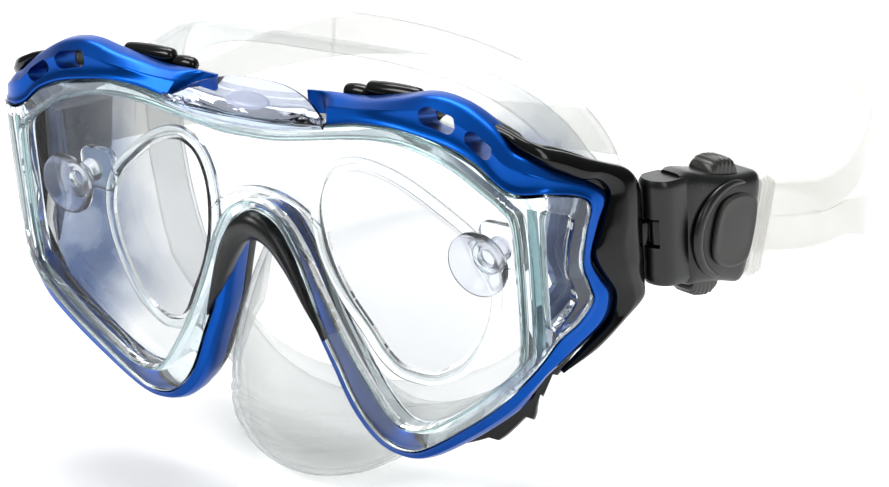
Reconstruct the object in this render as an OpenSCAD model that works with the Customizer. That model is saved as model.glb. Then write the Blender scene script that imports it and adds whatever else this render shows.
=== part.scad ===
// Two-window diving mask with clear skirt, split strap, pinch buckles and a clip-in lens insert.
// The face seal's centre is the origin, the windows look along -Y and +Z is up.

/* [Windows] */
// Distance from the face seal back to the front of the window
lens_depth = 48; // [44:1:54]
// Thickness of the window glass
glass_t = 3.5; // [3:0.25:4]
// Depth of the clear frame round the glass
frame_d = 8; // [7:0.5:9]
// Angle of the side windows to the front window
side_angle = 62; // [56:1:66]
// Radius of the bend between front and side
bend_r = 13.5; // [13.5:0.25:15]

/* [Bezel and chassis] */
// Width of the seam between clear frame and bezel
seam = 0.25; // [0.2:0.05:0.4]
// Thickness of the chassis behind the bezel
chassis_t = 3.5; // [3:0.25:4.5]
// Thickness of the side arms
arm_t = 6; // [5:0.5:7]

/* [Skirt] */
// Half the width of the face seal
seal_half_w = 69; // [64:1:74]
// Height of the seal above the eye line
seal_top = 53.5; // [50:0.5:57]
// Depth of the seal below the eye line
seal_bottom = 55; // [52:0.5:60]
// Wall of the silicone skirt
skirt_t = 1.6; // [1.2:0.1:2]

/* [Buckles] */
// Length of the buckle body
buckle_l = 20.5; // [20.5:0.5:25]
// Height of the buckle body
buckle_h = 28; // [26:0.5:31]
// Thickness of the buckle body
buckle_t = 12.4; // [12.2:0.2:14]
// Radius of the hinge pin
pin_r = 1.5; // [1.2:0.1:1.8]
// Radius of the strap roller
roller_r = 2.2; // [1.9:0.1:2.5]
// Travel of a release button
button_travel = 1.3; // [1:0.1:1.5]
// Outward splay of the buckle at rest
splay = 14; // [10:1:20]
// Downward rake of the buckle
rake = 17; // [12:1:20]

/* [Strap] */
// Width of the strap in the buckles
strap_w = 17.5; // [14:0.5:18]
// Thickness of the strap
strap_t = 2; // [1.6:0.1:2.2]
// Width of each band behind the head
band_w = 13.5; // [11:0.5:16]
// Gap between the two bands behind the head
band_gap = 14; // [10:1:20]

/* [Optical insert] */
// Thickness of the insert's rims
rim_t = 2.2; // [1.8:0.1:2.6]
// Width of the insert's rims
rim_w = 3; // [2.4:0.2:4]
// Radius of a suction cup
cup_r = 8; // [7:0.5:9]
// How far the insert pulls out of the mask
insert_travel = 24; // [15:1:26]

/* [Hidden] */
fine = 48;
soft_gap = 0.3;
run_gap = 0.05;

// ---- general helpers ----
function blend_point(a, b, c, d, t) =
  0.5 * (2 * b + (c - a) * t + (2 * a - 5 * b + 4 * c - d) * t * t
  + (3 * b - a - 3 * c + d) * t * t * t);
// Smooth closed curve through the points, k points to a span
function smooth_loop(p, k) = let (n = len(p)) [
  for (i = [0 : n - 1]) for (t = [0 : k - 1])
    blend_point(p[(i + n - 1) % n], p[i], p[(i + 1) % n], p[(i + 2) % n], t / k)
];
// Smooth open curve through the points
function smooth_line(p, k) = let (n = len(p)) concat([
  for (i = [0 : n - 2]) for (t = [0 : k - 1])
    blend_point(p[max(i - 1, 0)], p[i], p[i + 1], p[min(i + 2, n - 1)], t / k)
], [p[n - 1]]);
// A right half from top centre to bottom centre, closed by its mirror image
function mirror_x(p) = concat([-p[0]], [for (i = [1 : 1 : len(p) - 1]) p[i]]);
function both_halves(p) = concat(p, [for (i = [len(p) - 2 : -1 : 1]) mirror_x(p[i])]);
// A closed plan outline, clockwise, grown outwards by d
function grow(p, d) = let (n = len(p)) [
  for (i = [0 : n - 1])
    let (t = p[(i + 1) % n] - p[(i + n - 1) % n], s = norm([t[0], t[1]]))
      [p[i][0] - t[1] / s * d, p[i][1] + t[0] / s * d]
];
// Solid through a closed ring of sections, each a closed list of points
module loop_solid(s) {
  n = len(s);
  m = len(s[0]);
  polyhedron(
    points = [for (a = s) each a],
    faces = [
      for (i = [0 : n - 1]) for (j = [0 : m - 1])
        let (a = i * m + j, b = ((i + 1) % n) * m + j)
        let (c = ((i + 1) % n) * m + (j + 1) % m, d = i * m + (j + 1) % m)
          each [[a, c, b], [a, d, c]]
    ]
  );
}
// Solid through an open row of sections, with flat ends
module sweep_solid(s) {
  n = len(s);
  m = len(s[0]);
  polyhedron(
    points = [for (a = s) each a],
    faces = concat([
      for (i = [0 : n - 2]) for (j = [0 : m - 1])
        let (a = i * m + j, b = (i + 1) * m + j, c = (i + 1) * m + (j + 1) % m, d = i * m + (j + 1) % m)
          each [[a, b, c], [a, c, d]]
    ], [[for (j = [0 : m - 1]) j]], [[for (j = [m - 1 : -1 : 0]) (n - 1) * m + j]])
  );
}
module at_lens() { translate([0, -lens_depth, 0]) children(); }
module mirrored(side) { mirror([side < 0 ? 1 : 0, 0, 0]) children(); }
// Upright plate whose front face is at depth front
module upright(front, thick) { translate([0, front + thick, 0]) rotate([90, 0, 0]) linear_extrude(thick) children(); }

// ---- the wrapped front: u runs round the bend, z is height, n is depth behind the surface ----
corner_x = 78;
u_flat = corner_x - bend_r * tan(side_angle / 2);
u_side = u_flat + bend_r * side_angle * PI / 180;
side_x = u_flat + bend_r * sin(side_angle);
side_y = bend_r - bend_r * cos(side_angle);
function wrap(u, z, n) =
  let (a = abs(u), s = sign(u), w = (a - u_flat) / bend_r * 180 / PI, e = a - u_side)
    a <= u_flat ? [u, n, z]
    : a < u_side ? [s * (u_flat + (bend_r - n) * sin(w)), bend_r - (bend_r - n) * cos(w), z]
    : [s * (side_x + e * cos(side_angle) - n * sin(side_angle)),
       side_y + e * sin(side_angle) + n * cos(side_angle), z];
// Plate in the plane of the right side window, drawn in u and z, front face at depth front
module side_plate(front, thick) {
  translate([side_x, side_y, 0]) rotate([0, 0, side_angle])
    translate([-u_side, 0, 0]) upright(front, thick) children();
}

// Right half of the seam between clear frame and bezel, from brow to nose
seam_half = [
  [0, 37.2], [10, 37.3], [22, 38.2], [32, 40], [41, 40.3], [49, 39.2], [57, 37.6], [64, 34.8],
  [69, 30.8], [73.5, 29], [81, 28.7], [89, 26.5], [92, 23.5], [90.7, 18], [89.2, 10], [90.8, 4],
  [91.3, 0], [87.2, -4.2], [82, -7], [78.2, -11.5], [74.3, -16], [64.7, -25.8], [54, -34.2],
  [43.5, -41.4], [37, -43], [31, -40.8], [25, -33.8], [20.3, -23.6], [16.2, -14.6], [13.4, -5],
  [10.4, 4], [6, 11], [0, 13.4]
];
// Right half of the bezel's outer edge, point for point
bezel_half = [
  [0, 42.6], [10, 43.2], [20, 43.8], [30, 44.2], [41, 46.4], [50, 48.4], [58, 47.2], [65.5, 43.3],
  [71.5, 38.8], [77.5, 36.6], [85, 33], [94, 28.2], [98.3, 24], [96, 18.5], [93.2, 10.5], [95.4, 5],
  [98.5, 0], [97.2, -6.5], [89, -12], [80.5, -16.2], [76.5, -19.6], [67.2, -28.6], [56.3, -37.2],
  [44.6, -44.6], [36.6, -46.2], [28.5, -43.6], [21.8, -35.7], [17, -24.8], [13, -15.4],
  [10.2, -5.4], [7.8, 2.4], [4.5, 7.6], [0, 9.4]
];
// How far back the bezel reaches at each point: deep at brow and nose, thin round the side windows
function brow_slope(i) = i < 3 ? 6.5 : i < 4 ? 4.8 : i < 8 ? 3 : 1.6;
// Extra room at the four corners, where the bezel bends away from the flat frame
function corner_gap(i) = (i > 7 && i < 12) || (i > 17 && i < 22) ? 0.7 : 0;
function bezel_depth(i) = i < 8 ? 9 : i < 11 ? 9 - (i - 7) * 1.6 : i < 18 ? 3.4 : i < 21 ? 3.4 + (i - 17) * 1.2 : 8;
chassis_half = [
  [0, 41], [10, 41.6], [20, 42.6], [30, 43.8], [41, 45.8], [50, 47.8], [60, 46.6], [69.5, 43.6],
  [76.5, 41.4], [84.7, 39], [90, 36.4], [97.2, 32], [104.8, 28.2], [106.8, 24], [106.8, 12],
  [106.6, 0], [106.9, -3.4], [98, -9.4], [89.6, -14.2], [83, -19], [76, -24.4], [67.5, -31.6],
  [57, -39.4], [44.6, -44.4], [36.6, -45.8], [28.8, -43.2], [22.4, -35.4], [17.4, -24.6],
  [13.4, -15.2], [10.6, -5.2], [8.2, 2.4], [4.7, 7.4], [0, 9.2]
];
seam_loop = smooth_loop(both_halves(seam_half), 3);
bezel_loop = smooth_loop(both_halves(bezel_half), 3);
chassis_loop = smooth_loop(both_halves(chassis_half), 3);
depth_loop = smooth_loop(both_halves([for (i = [0 : 32]) [0, bezel_depth(i), corner_gap(i), brow_slope(i)]]), 3);
window_half = [
  [0, 32.4], [8, 32.7], [20, 34.6], [32, 36.6], [42, 37], [50, 35.6], [58, 32.8], [65, 28.6],
  [70, 25.2], [72.4, 21.5], [73, 7], [72.7, -9.5], [70.8, -14.5], [65, -20.4], [58, -26.6],
  [50.5, -32.2], [44.5, -35.7], [39, -36.8], [34.6, -34.4], [30, -28.2], [25.2, -20.4],
  [20.8, -12], [17.2, -4], [13.4, 5], [8, 12.8], [0, 16]
];
window_loop = smooth_loop(both_halves(window_half), 3);
side_window = smooth_loop([
  [80.8, 24.6], [84, 23.9], [87, 22.6], [87.6, 20.6], [86.1, 15], [85.8, 8.5], [87.2, 3.6],
  [87, 1], [84.5, -1.8], [80.8, -4.4], [80.3, 4], [80.3, 18]
], 3);

// ---- windows and frame ----
module front_lens() {
  color([0.85, 0.93, 0.93, 0.4]) at_lens() upright(0, glass_t) polygon(window_loop);
}
module side_lens(side) {
  color([0.85, 0.93, 0.93, 0.4]) at_lens() mirrored(side)
    side_plate(0.6, glass_t - 0.6) polygon(side_window);
}
frame_step = 3;
// Clear visor over the middle of the bezel, sloping back from the frame's front face
crown_half_w = 22;
module crown() {
  sweep_solid([
    for (i = [7 : -1 : -7])
      let (t = i / 7.4, x = crown_half_w * t, hi = 45 - 6 * pow(abs(t), 2.4), lo = 34 + 3 * t * t)
      let (back = (hi - 37.4) * 0.98, root = 37.7 + t * t)
        [[x, 0.3, lo], [x, -1, lo + 0.4], [x, -1.6, root + 0.2], [x, back - 2, hi], [x, back - 0.4, hi],
         [x, 0.3, root]]
  ]);
}
module clear_frame() {
  color([0.8, 0.9, 0.92, 0.6]) at_lens() {
    difference() {
      union() {
        upright(0, frame_step) intersection() {
          polygon(seam_loop);
          square([corner_x * 2 + 0.8, 120], center = true);
        }
        upright(frame_step, frame_d - frame_step) intersection() {
          polygon(grow(seam_loop, -1.8));
          square([corner_x * 2 - 9, 120], center = true);
        }
        crown();
        for (side = [-1, 1]) mirrored(side) side_plate(0, 5) intersection() {
          polygon(grow(seam_loop, -0.1));
          translate([u_side - 4, -50]) square([40, 100]);
        }
      }
      upright(-1, frame_d + 2) polygon(window_loop);
      upright(glass_t + 0.4, frame_d) polygon(grow(window_loop, 0.9));
      for (side = [-1, 1]) mirrored(side) side_plate(-3, 12) polygon(side_window);
    }
  }
}
module bezel() {
  color("royalblue") at_lens() loop_solid([
    for (i = [0 : len(seam_loop) - 1])
      let (e = depth_loop[i], a = grow(seam_loop, seam + max(0, e[2]))[i], b = bezel_loop[i], d = e[1])
        [wrap(a[0], a[1], 0.8), wrap(b[0], b[1], e[3]), wrap(b[0], b[1], d), wrap(a[0], a[1], d)]
  ]);
}

// Black frame behind the bezel, with two soft bumps a side and an arm out to each buckle
module brow_bump(x, z, len_x) {
  translate([x, 12.2, z]) hull() for (e = [-1, 1]) translate([e * len_x / 2, 0, 0]) sphere(r = 2.6, $fn = 20);
}
module arm(side) {
  outer = [[107, -3.2], [107.2, 0], [106.9, 12], [107, 25.4], [104.8, 27.6], [101, 29.6]];
  mirrored(side) {
    side_plate(1.6, arm_t) difference() {
      polygon(concat([[99.5, 28], [98, 20], [95.4, 10], [97.5, 3], [99.8, -3], [99, -7.4]], outer));
      polygon(grow(bezel_loop, soft_gap));
    }
  }
}
module chassis() {
  color("black") at_lens() {
    loop_solid([
      for (i = [0 : len(seam_loop) - 1])
        let (a = grow(seam_loop, 1.4)[i], b = chassis_loop[i])
        let (d = depth_loop[i][1] + 0.3 + 0.6 * max(0, depth_loop[i][2]))
        let (back = d + chassis_t - 1.5 * max(0, min(1, (abs(b[0]) - 62) / 8)))
          [wrap(a[0], a[1], d), wrap(b[0], b[1], d), wrap(b[0], b[1], back), wrap(a[0], a[1], back)]
    ]);
    for (side = [-1, 1]) {
      arm(side);
      mirrored(side) {
        brow_bump(26, 43.6, 3);
        brow_bump(34.5, 44.6, 7);
      }
      tongue(side);
    }
  }
}
module nose_bridge() {
  outer = smooth_loop(both_halves(concat(
    [[0, 13.2], [5.6, 10.9], [10, 4], [12.9, -4.8], [15.5, -14.2], [15.2, -14.8]],
    [[13.4, -11.6], [10.6, -6.2], [7, -0.6], [3.6, 3.6], [0, 5]])), 3);
  color("black") at_lens() difference() {
    upright(-3.6, 4) polygon(outer);
    upright(-9, 20) polygon(grow(seam_loop, -0.05));
  }
}

// ---- skirt ----
// Edge of the face seal; t runs from 90 at the brow to -90 at the chin
function seal_point(t, side, inset) =
  let (x = (seal_half_w - inset) * pow(cos(t), 0.8))
  let (z = t > 0 ? (seal_top - 2 - inset) * pow(sin(t), 0.9) : -(seal_bottom + 2 - inset) * pow(-sin(t), 0.9))
    [side * x, (t > 0 ? 34.5 : 39) - (t > 0 ? 0 : 4.5 * (1 + t / 90)) + 0.0052 * x * x, 2 + z];
// Angle along the seal for station i of the 64 round the frame
function seal_angle(i) = 90 - 180 * pow((i <= 32 ? i : 64 - i) / 32, 0.85);
// How much of the nose pocket's bulge station i has
function nose_share(i) = let (j = i <= 32 ? i : 64 - i) j < 24 ? 0 : 0.5 - 0.5 * cos((j - 24) * 22.5);
function skirt_row(i, t, a) =
  let (l = seal_point(seal_angle(i), i <= 32 ? 1 : -1, 0), w = nose_share(i))
  let (c = a + (l - a) / 3, d = a + (l - a) * 2 / 3)
  let (q = 24 * sin(min(90, 15 * max(0, 32 - (i <= 32 ? i : 64 - i)))) * (i <= 32 ? 1 : -1))
  let (nose_c = [a[0] * 0.4 + q * 0.75, -9, a[2] - 22], nose_d = [q * 1.1, -13, -86])
  let (c1 = c * (1 - w) + nose_c * w, c2 = d * (1 - w) + nose_d * w, s = 1 - t)
    s * s * s * a + 3 * s * s * t * c1 + 3 * s * t * t * c2 + t * t * t * l;
function unit(v) = v / norm(v);
module skirt() {
  k = 2;
  base = smooth_loop(both_halves(seam_half), k);
  n = len(base);
  rows = 8;
  flange = frame_d + soft_gap;
  outer = [
    for (i = [0 : n - 1])
      let (w = min(1, nose_share(i / k) * 2.2), g = -2.2 * (1 - w) + 5.4 * w, p = grow(base, g)[i])
      let (start = wrap(p[0], p[1], flange + 4.7))
        concat(
          [wrap(base[i][0], base[i][1], flange), wrap(base[i][0], base[i][1], flange + 4)],
          [for (j = [0 : rows]) skirt_row(i / k, j / rows, start)]
        )
  ];
  m = len(outer[0]);
  inner = [
    for (i = [0 : n - 1]) [for (j = [0 : m - 1])
      let (a = outer[(i + 1) % n][j] - outer[(i + n - 1) % n][j])
      let (b = outer[i][min(j + 1, m - 1)] - outer[i][max(j - 1, 0)])
        outer[i][j] - unit(cross(a, b)) * skirt_t]
  ];
  color([0.95, 0.97, 0.98, 0.5]) at_lens()
    loop_solid([for (i = [0 : n - 1]) concat(outer[i], [for (j = [m - 1 : -1 : 0]) inner[i][j]])]);
}

// ---- optical insert: each eye's rim lies in a plane that turns back towards the temple ----
insert_y = 4.2;
insert_tilt = 13;
rim_nose_x = 13.5;
cup_x = 61;
cup_z = 9.3;
cup_y = 14.2;
rim_outline = smooth_loop([
  [14, 17], [15.7, 22.4], [18.2, 25.9], [21.4, 28], [25.9, 29.1], [31.1, 28.3], [36.7, 26.1], [42.2, 22.8],
  [48.4, 18.1], [54.9, 12.7], [59.2, 7], [61.2, -0.3], [60.8, -7], [59.4, -12.7], [56.8, -18.3], [52.7, -24.2],
  [48, -27.8], [42.6, -30], [37.3, -29.7], [32.2, -27.9], [28, -23.6], [24.1, -16.8], [20.1, -10.2], [17, -3.4],
  [14.9, 3.3], [13.8, 10.9]
], 3);
rim_loop = grow(rim_outline, -0.9);
module on_rim_plane(side) {
  mirrored(side) translate([rim_nose_x, insert_y, 0]) rotate([0, 0, insert_tilt])
    translate([-rim_nose_x, 0, 0]) children();
}
module insert_frame() {
  color([0.9, 0.95, 0.97, 0.6]) at_lens() {
    for (side = [-1, 1]) {
      on_rim_plane(side) upright(0, rim_t) difference() {
        polygon(rim_loop);
        polygon(grow(rim_loop, -rim_w));
      }
      mirrored(side) translate([cup_x, cup_y, cup_z]) rotate([-90, 0, 0]) cylinder(r = 3.6, h = rim_t, $fn = fine);
    }
    upright(insert_y, rim_t) polygon(concat(
      [for (a = [150 : -10 : 30]) [17.6 * cos(a), 3.6 + 14.6 * sin(a)]],
      [for (a = [30 : 10 : 150]) [18.6 * cos(a), 3.6 + 12.4 * sin(a)]]
    ));
  }
}
module insert_lens(side) {
  color([0.85, 0.93, 0.95, 0.4]) at_lens() difference() {
    on_rim_plane(side) upright(0.3, rim_t - 0.6) polygon(grow(rim_loop, -rim_w));
    mirrored(side) translate([cup_x, cup_y - 5, cup_z]) rotate([-90, 0, 0]) cylinder(r = 3.6, h = 12, $fn = fine);
  }
}
module suction_cup(side) {
  cup_d = cup_y - glass_t - soft_gap;
  color([0.9, 0.95, 1, 0.6]) at_lens() mirrored(side)
    translate([cup_x, cup_y, cup_z]) rotate([90, 0, 0]) rotate_extrude($fn = fine) polygon([
      [0, 0], [2.8, 0], [2.8, cup_d - 4.4], [4.4, cup_d - 3], [cup_r, cup_d - 0.7], [cup_r, cup_d],
      [cup_r - 1, cup_d], [3.6, cup_d - 1.4], [0, cup_d - 1.8]
    ]);
}

// ---- buckles: the hinge pin stands upright; the body's +Y runs back along the strap, +X outwards ----
swivel_r = 4.8;
arm_end_u = 107;
hinge_u = arm_end_u + swivel_r + 0.7;
hinge_z = 12;
hinge_at = wrap(hinge_u, hinge_z, 3.4);
lug_z = 6.4;
pin_l = buckle_h - 4;
body_y = 6.6;
roller_y = body_y + 8.6;
roller_l = strap_w + 1;
wrap_in = roller_r + soft_gap;
wrap_out = wrap_in + strap_t;
strap_x = 0.2;
module at_hinge(side) { at_lens() mirrored(side) translate(hinge_at) rotate([0, 0, -splay]) children(); }
module at_buckle(side) { at_hinge(side) rotate([-rake, 0, 0]) children(); }
// Lug on the arm's end that the hinge pin passes through
module tongue(side) {
  mirrored(side) difference() {
    union() {
      translate(hinge_at) cylinder(r = 3.2, h = 2 * lug_z - 1, center = true, $fn = fine);
      side_plate(1.9, 3) translate([arm_end_u - 6, hinge_z - 5]) square([hinge_u - arm_end_u + 6, 10]);
    }
    translate(hinge_at) cylinder(r = pin_r + 0.01, h = 60, center = true, $fn = fine);
  }
}
module hinge_pin(side) {
  color("silver") at_hinge(side) cylinder(r = pin_r, h = pin_l, center = true, $fn = fine);
}
// Collar that turns on the pin; its back face is raked to carry the body
module swivel(side) {
  swivel_h = buckle_h - 1.6;
  color("dimgray") at_hinge(side) difference() {
    union() {
      cylinder(r = swivel_r, h = swivel_h, center = true, $fn = fine);
      translate([-swivel_r, 0, -swivel_h / 2]) cube([2 * swivel_r, body_y + 6, swivel_h]);
    }
    cylinder(r = pin_r + run_gap, h = pin_l + 0.4, center = true, $fn = fine);
    translate([-10, -10, -lug_z]) cube([20, 13.7, 2 * lug_z]);
    rotate([-rake, 0, 0]) translate([-20, body_y, -30]) cube([40, 20, 60]);
  }
}
pocket_z = buckle_h / 2 - 3.6;
button_w = 7.4;
button_l = 9;
module buckle_body(side) {
  color("dimgray") at_buckle(side) difference() {
    translate([-buckle_t / 2 + 0.2, body_y, -buckle_h / 2]) cube([buckle_t, buckle_l, buckle_h]);
    // strap channel, open at the back
    translate([strap_x - wrap_out - soft_gap, body_y + 0.8, -strap_w / 2 - 0.6])
      cube([2 * wrap_out + 2 * soft_gap, buckle_l, strap_w + 1.2]);
    // blind bores for the roller pin
    translate([strap_x, roller_y, 0]) cylinder(r = 1, h = 2 * pocket_z - 0.4, center = true, $fn = fine);
    for (e = [-1, 1]) mirror([0, 0, e < 0 ? 1 : 0])
      translate([strap_x - button_w / 2 - 0.25, roller_y - 4.6 - 0.25, pocket_z])
        cube([button_w + 0.5, button_l + 0.5, 10]);
  }
}
module buckle_pad(side) {
  color("gray") at_buckle(side) translate([buckle_t / 2 + 0.2, body_y + buckle_l - 7.4, 0]) rotate([0, 90, 0])
    difference() {
      cylinder(r = 7.6, h = 1.2, $fn = fine);
      translate([-10, 5, -1]) cube([20, 10, 5]);
    }
}
module button(side, e) {
  color("darkolivegreen") at_buckle(side) mirror([0, 0, e < 0 ? 1 : 0])
    translate([strap_x, roller_y - 0.1, pocket_z + button_travel + 0.2]) difference() {
      translate([-button_w / 2, -button_l / 2, 0]) cube([button_w, button_l, 6]);
      translate([0, 0, -12.6]) rotate([0, 90, 0]) difference() {
        cylinder(r = 40, h = 20, center = true, $fn = fine);
        cylinder(r = 17.4, h = 30, center = true, $fn = 96);
      }
    }
}
module lock_pawl(side) {
  color("black") at_buckle(side)
    translate([strap_x - 3, body_y + 2.4, -6]) cube([6, 8.6 - wrap_out - 2.4 - soft_gap, 12]);
}
module roller(side) {
  color("gray") at_buckle(side) translate([strap_x, roller_y, 0]) difference() {
    cylinder(r = roller_r, h = roller_l - 0.4, center = true, $fn = fine);
    cylinder(r = 1 + run_gap, h = roller_l + 1, center = true, $fn = fine);
  }
}
module roller_pin(side) {
  color("silver") at_buckle(side) translate([strap_x, roller_y, 0])
    cylinder(r = 0.99, h = 2 * pocket_z - 0.5, center = true, $fn = fine);
}
// Strap through the buckle: in on the inner side, round the roller and out to its widened tail
tail_y = body_y + buckle_l + 1;
strap_cut_y = 36;
module strap_end(side) {
  color([0.93, 0.94, 0.94, 0.7]) at_buckle(side) {
    translate([0, 0, -strap_w / 2]) linear_extrude(strap_w) {
      translate([strap_x, roller_y]) difference() {
        circle(r = wrap_out, $fn = fine);
        circle(r = wrap_in, $fn = fine);
        translate([-10, 0]) square([20, 20]);
      }
      translate([strap_x - wrap_out, roller_y]) square([strap_t, strap_cut_y - roller_y]);
      translate([strap_x + wrap_in, roller_y]) square([strap_t, tail_y - roller_y + 1]);
    }
    translate([strap_x + wrap_in - 0.4, tail_y, -buckle_h / 2 + 1.4]) cube([strap_t + 1.2, 5, buckle_h - 2.8]);
  }
}

// ---- strap behind the head ----
function turn_z(v, a) = [v[0] * cos(a) - v[1] * sin(a), v[0] * sin(a) + v[1] * cos(a), v[2]];
function buckle_to_lens(p) = hinge_at + turn_z(
  [p[0], p[1] * cos(rake) + p[2] * sin(rake), -p[1] * sin(rake) + p[2] * cos(rake)], -splay);
strap_mid_x = strap_x - wrap_out + strap_t / 2;
strap_route = concat(
  [buckle_to_lens([strap_mid_x, strap_cut_y + 0.4, 0]), buckle_to_lens([strap_mid_x + 0.2, strap_cut_y + 8, 0])],
  [[103, 92, -6], [102, 112, -10], [96, 137, -15], [83, 164, -21], [61, 188, -27], [32, 201, -30], [0, 205, -31]]
);
// The last three numbers: centre of the band, half its width, and a spare
module strap_band(e) {
  n = len(strap_route);
  start = buckle_to_lens([0, 0, 1]) - buckle_to_lens([0, 0, 0]);
  half = [
    for (i = [0 : n - 1])
      let (t = i / (n - 1), w = t < 0.3 ? 0 : t > 0.65 ? 1 : 0.5 - 0.5 * cos((t - 0.3) / 0.35 * 180))
        concat(strap_route[i], [e * (strap_w / 4 * (1 - w) + (band_gap + band_w) / 2 * w),
          (strap_w / 4 + 0.15) * (1 - w) + band_w / 2 * w, i < 2 ? 1 : 0])
  ];
  mirror_half = [for (i = [n - 2 : -1 : 0]) [-half[i][0], half[i][1], half[i][2], half[i][3], half[i][4], half[i][5]]];
  line = smooth_line(concat(half, mirror_half), 5);
  m = len(line);
  at_lens() sweep_solid([
    for (i = [0 : m - 1])
      let (p = [line[i][0], line[i][1], line[i][2]], q = line[min(i + 1, m - 1)], r = line[max(i - 1, 0)])
      let (d = unit([q[0] - r[0], q[1] - r[1], q[2] - r[2]]))
      let (up = unit([0, 0.12 * (1 - 2 * 0), 1] - d * (d * [0, 0.12, 1])), side = cross(up, d) * strap_t / 2)
      let (lo = up * (line[i][3] - line[i][4]), hi = up * (line[i][3] + line[i][4]))
        [p + lo - side, p + lo + side, p + hi + side, p + hi - side]
  ]);
}
module rear_strap() {
  color([0.93, 0.94, 0.94, 0.7]) union() {
    strap_band(1);
    strap_band(-1);
  }
}

front_lens();
side_lens(1);  // side_lens_left
side_lens(-1);  // side_lens_right
clear_frame();
bezel();
chassis();
nose_bridge();
skirt();
insert_frame();
insert_lens(1);  // insert_lens_left
insert_lens(-1);  // insert_lens_right
suction_cup(1);  // suction_cup_left
suction_cup(-1);  // suction_cup_right
rear_strap();
hinge_pin(1);  // hinge_pin_left
swivel(1);  // swivel_left
buckle_body(1);  // buckle_body_left
buckle_pad(1);  // buckle_pad_left
button(1, 1);  // button_upper_left
button(1, -1);  // button_lower_left
lock_pawl(1);  // lock_pawl_left
roller(1);  // roller_left
roller_pin(1);  // roller_pin_left
strap_end(1);  // strap_end_left
hinge_pin(-1);  // hinge_pin_right
swivel(-1);  // swivel_right
buckle_body(-1);  // buckle_body_right
buckle_pad(-1);  // buckle_pad_right
button(-1, 1);  // button_upper_right
button(-1, -1);  // button_lower_right
lock_pawl(-1);  // lock_pawl_right
roller(-1);  // roller_right
roller_pin(-1);  // roller_pin_right
strap_end(-1);  // strap_end_right
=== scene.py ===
# %% [markdown]
# # A diving mask, from its frame to its finishes
# The shapes that carry load come from the CAD model, and this lesson puts the visible skin on them.
# Everything is drawn in millimetres in the lens frame, where the front glass lies at depth 0, and each
# finished piece is then scaled to metres and moved back by the depth of the lens.

import math

import bmesh
import bpy
import numpy as np
from mathutils import Matrix, Vector


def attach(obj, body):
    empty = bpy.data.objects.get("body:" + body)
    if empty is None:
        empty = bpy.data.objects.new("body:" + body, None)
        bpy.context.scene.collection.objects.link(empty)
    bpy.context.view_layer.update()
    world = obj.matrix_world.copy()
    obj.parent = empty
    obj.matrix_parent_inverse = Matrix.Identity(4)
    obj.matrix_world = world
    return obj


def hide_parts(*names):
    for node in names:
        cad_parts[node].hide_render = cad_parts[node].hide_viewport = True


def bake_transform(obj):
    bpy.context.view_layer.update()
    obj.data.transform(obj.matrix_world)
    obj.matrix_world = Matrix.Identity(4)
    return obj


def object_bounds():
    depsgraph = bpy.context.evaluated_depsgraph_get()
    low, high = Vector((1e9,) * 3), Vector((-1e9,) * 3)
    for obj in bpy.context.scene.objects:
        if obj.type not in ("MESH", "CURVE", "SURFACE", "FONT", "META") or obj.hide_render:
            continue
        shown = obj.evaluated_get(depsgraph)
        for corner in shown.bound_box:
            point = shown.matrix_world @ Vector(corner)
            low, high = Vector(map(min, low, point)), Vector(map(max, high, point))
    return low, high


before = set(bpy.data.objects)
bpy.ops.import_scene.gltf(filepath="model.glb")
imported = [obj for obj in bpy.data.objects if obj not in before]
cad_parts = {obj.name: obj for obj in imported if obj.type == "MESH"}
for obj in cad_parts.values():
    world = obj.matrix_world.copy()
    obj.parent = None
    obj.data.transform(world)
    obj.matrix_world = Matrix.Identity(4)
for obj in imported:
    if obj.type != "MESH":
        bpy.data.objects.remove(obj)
cad_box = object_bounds()

# %% [markdown]
# ## Camera
# A product shot of a mask is taken with a long lens from a little above, so that both windows and one
# buckle show. The camera is placed by its azimuth, elevation, roll and distance from a target on the
# lens, which is easier to adjust than a position and three angles.

# %% Camera
LENS_DEPTH = 48.0
camera_azimuth, camera_elevation, camera_roll = (math.radians(a) for a in (34.4, 23.9, -4.4))
camera_distance = 592.0
camera_target = Vector((54.4, 0 - LENS_DEPTH, 14.7))
back = Vector((
    math.sin(camera_azimuth) * math.cos(camera_elevation),
    -math.cos(camera_azimuth) * math.cos(camera_elevation),
    math.sin(camera_elevation),
))
level = Vector((math.cos(camera_azimuth), math.sin(camera_azimuth), 0))
right = math.cos(camera_roll) * level + math.sin(camera_roll) * back.cross(level)
up = back.cross(right)
camera_data = bpy.data.cameras.new("product_camera")
camera_data.sensor_width = 36
camera_data.lens = 2600 / 889 * 36
camera_data.clip_start = 0.02
camera = bpy.data.objects.new("product_camera", camera_data)
bpy.context.scene.collection.objects.link(camera)
turn = Matrix((right, up, back)).transposed().to_4x4()
camera.matrix_world = Matrix.Translation((camera_target + back * camera_distance) / 1000) @ turn
bpy.context.scene.camera = camera
print("lens", round(camera_data.lens, 1), "mm")

# %% [markdown]
# ## Floor and light
# Clear parts show themselves only by what they bend and mirror, so the room is bright and even with a
# few darker gaps. A seamless pale sweep stands behind the mask, with one large soft light on each side.

# %% Floor, sweep and lights
def link(name, data):
    made = bpy.data.objects.new(name, data)
    bpy.context.scene.collection.objects.link(made)
    return made


def linear(code):
    """A hex colour as the linear values that shaders use."""
    parts = [int(code[i : i + 2], 16) / 255 for i in (1, 3, 5)]
    return tuple(c / 12.92 if c <= 0.04045 else ((c + 0.055) / 1.055) ** 2.4 for c in parts) + (1.0,)


def add(tree, kind, links=None, **settings):
    """Adds a node; names in settings are sockets if the node has them, or else the node's own settings."""
    made = tree.nodes.new(kind)
    for key, value in settings.items():
        if hasattr(made, key):
            setattr(made, key, value)
        else:
            made.inputs[key.replace("_", " ")].default_value = value
    for key, output in (links or {}).items():
        tree.links.new(output, made.inputs[key])
    return made


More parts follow.
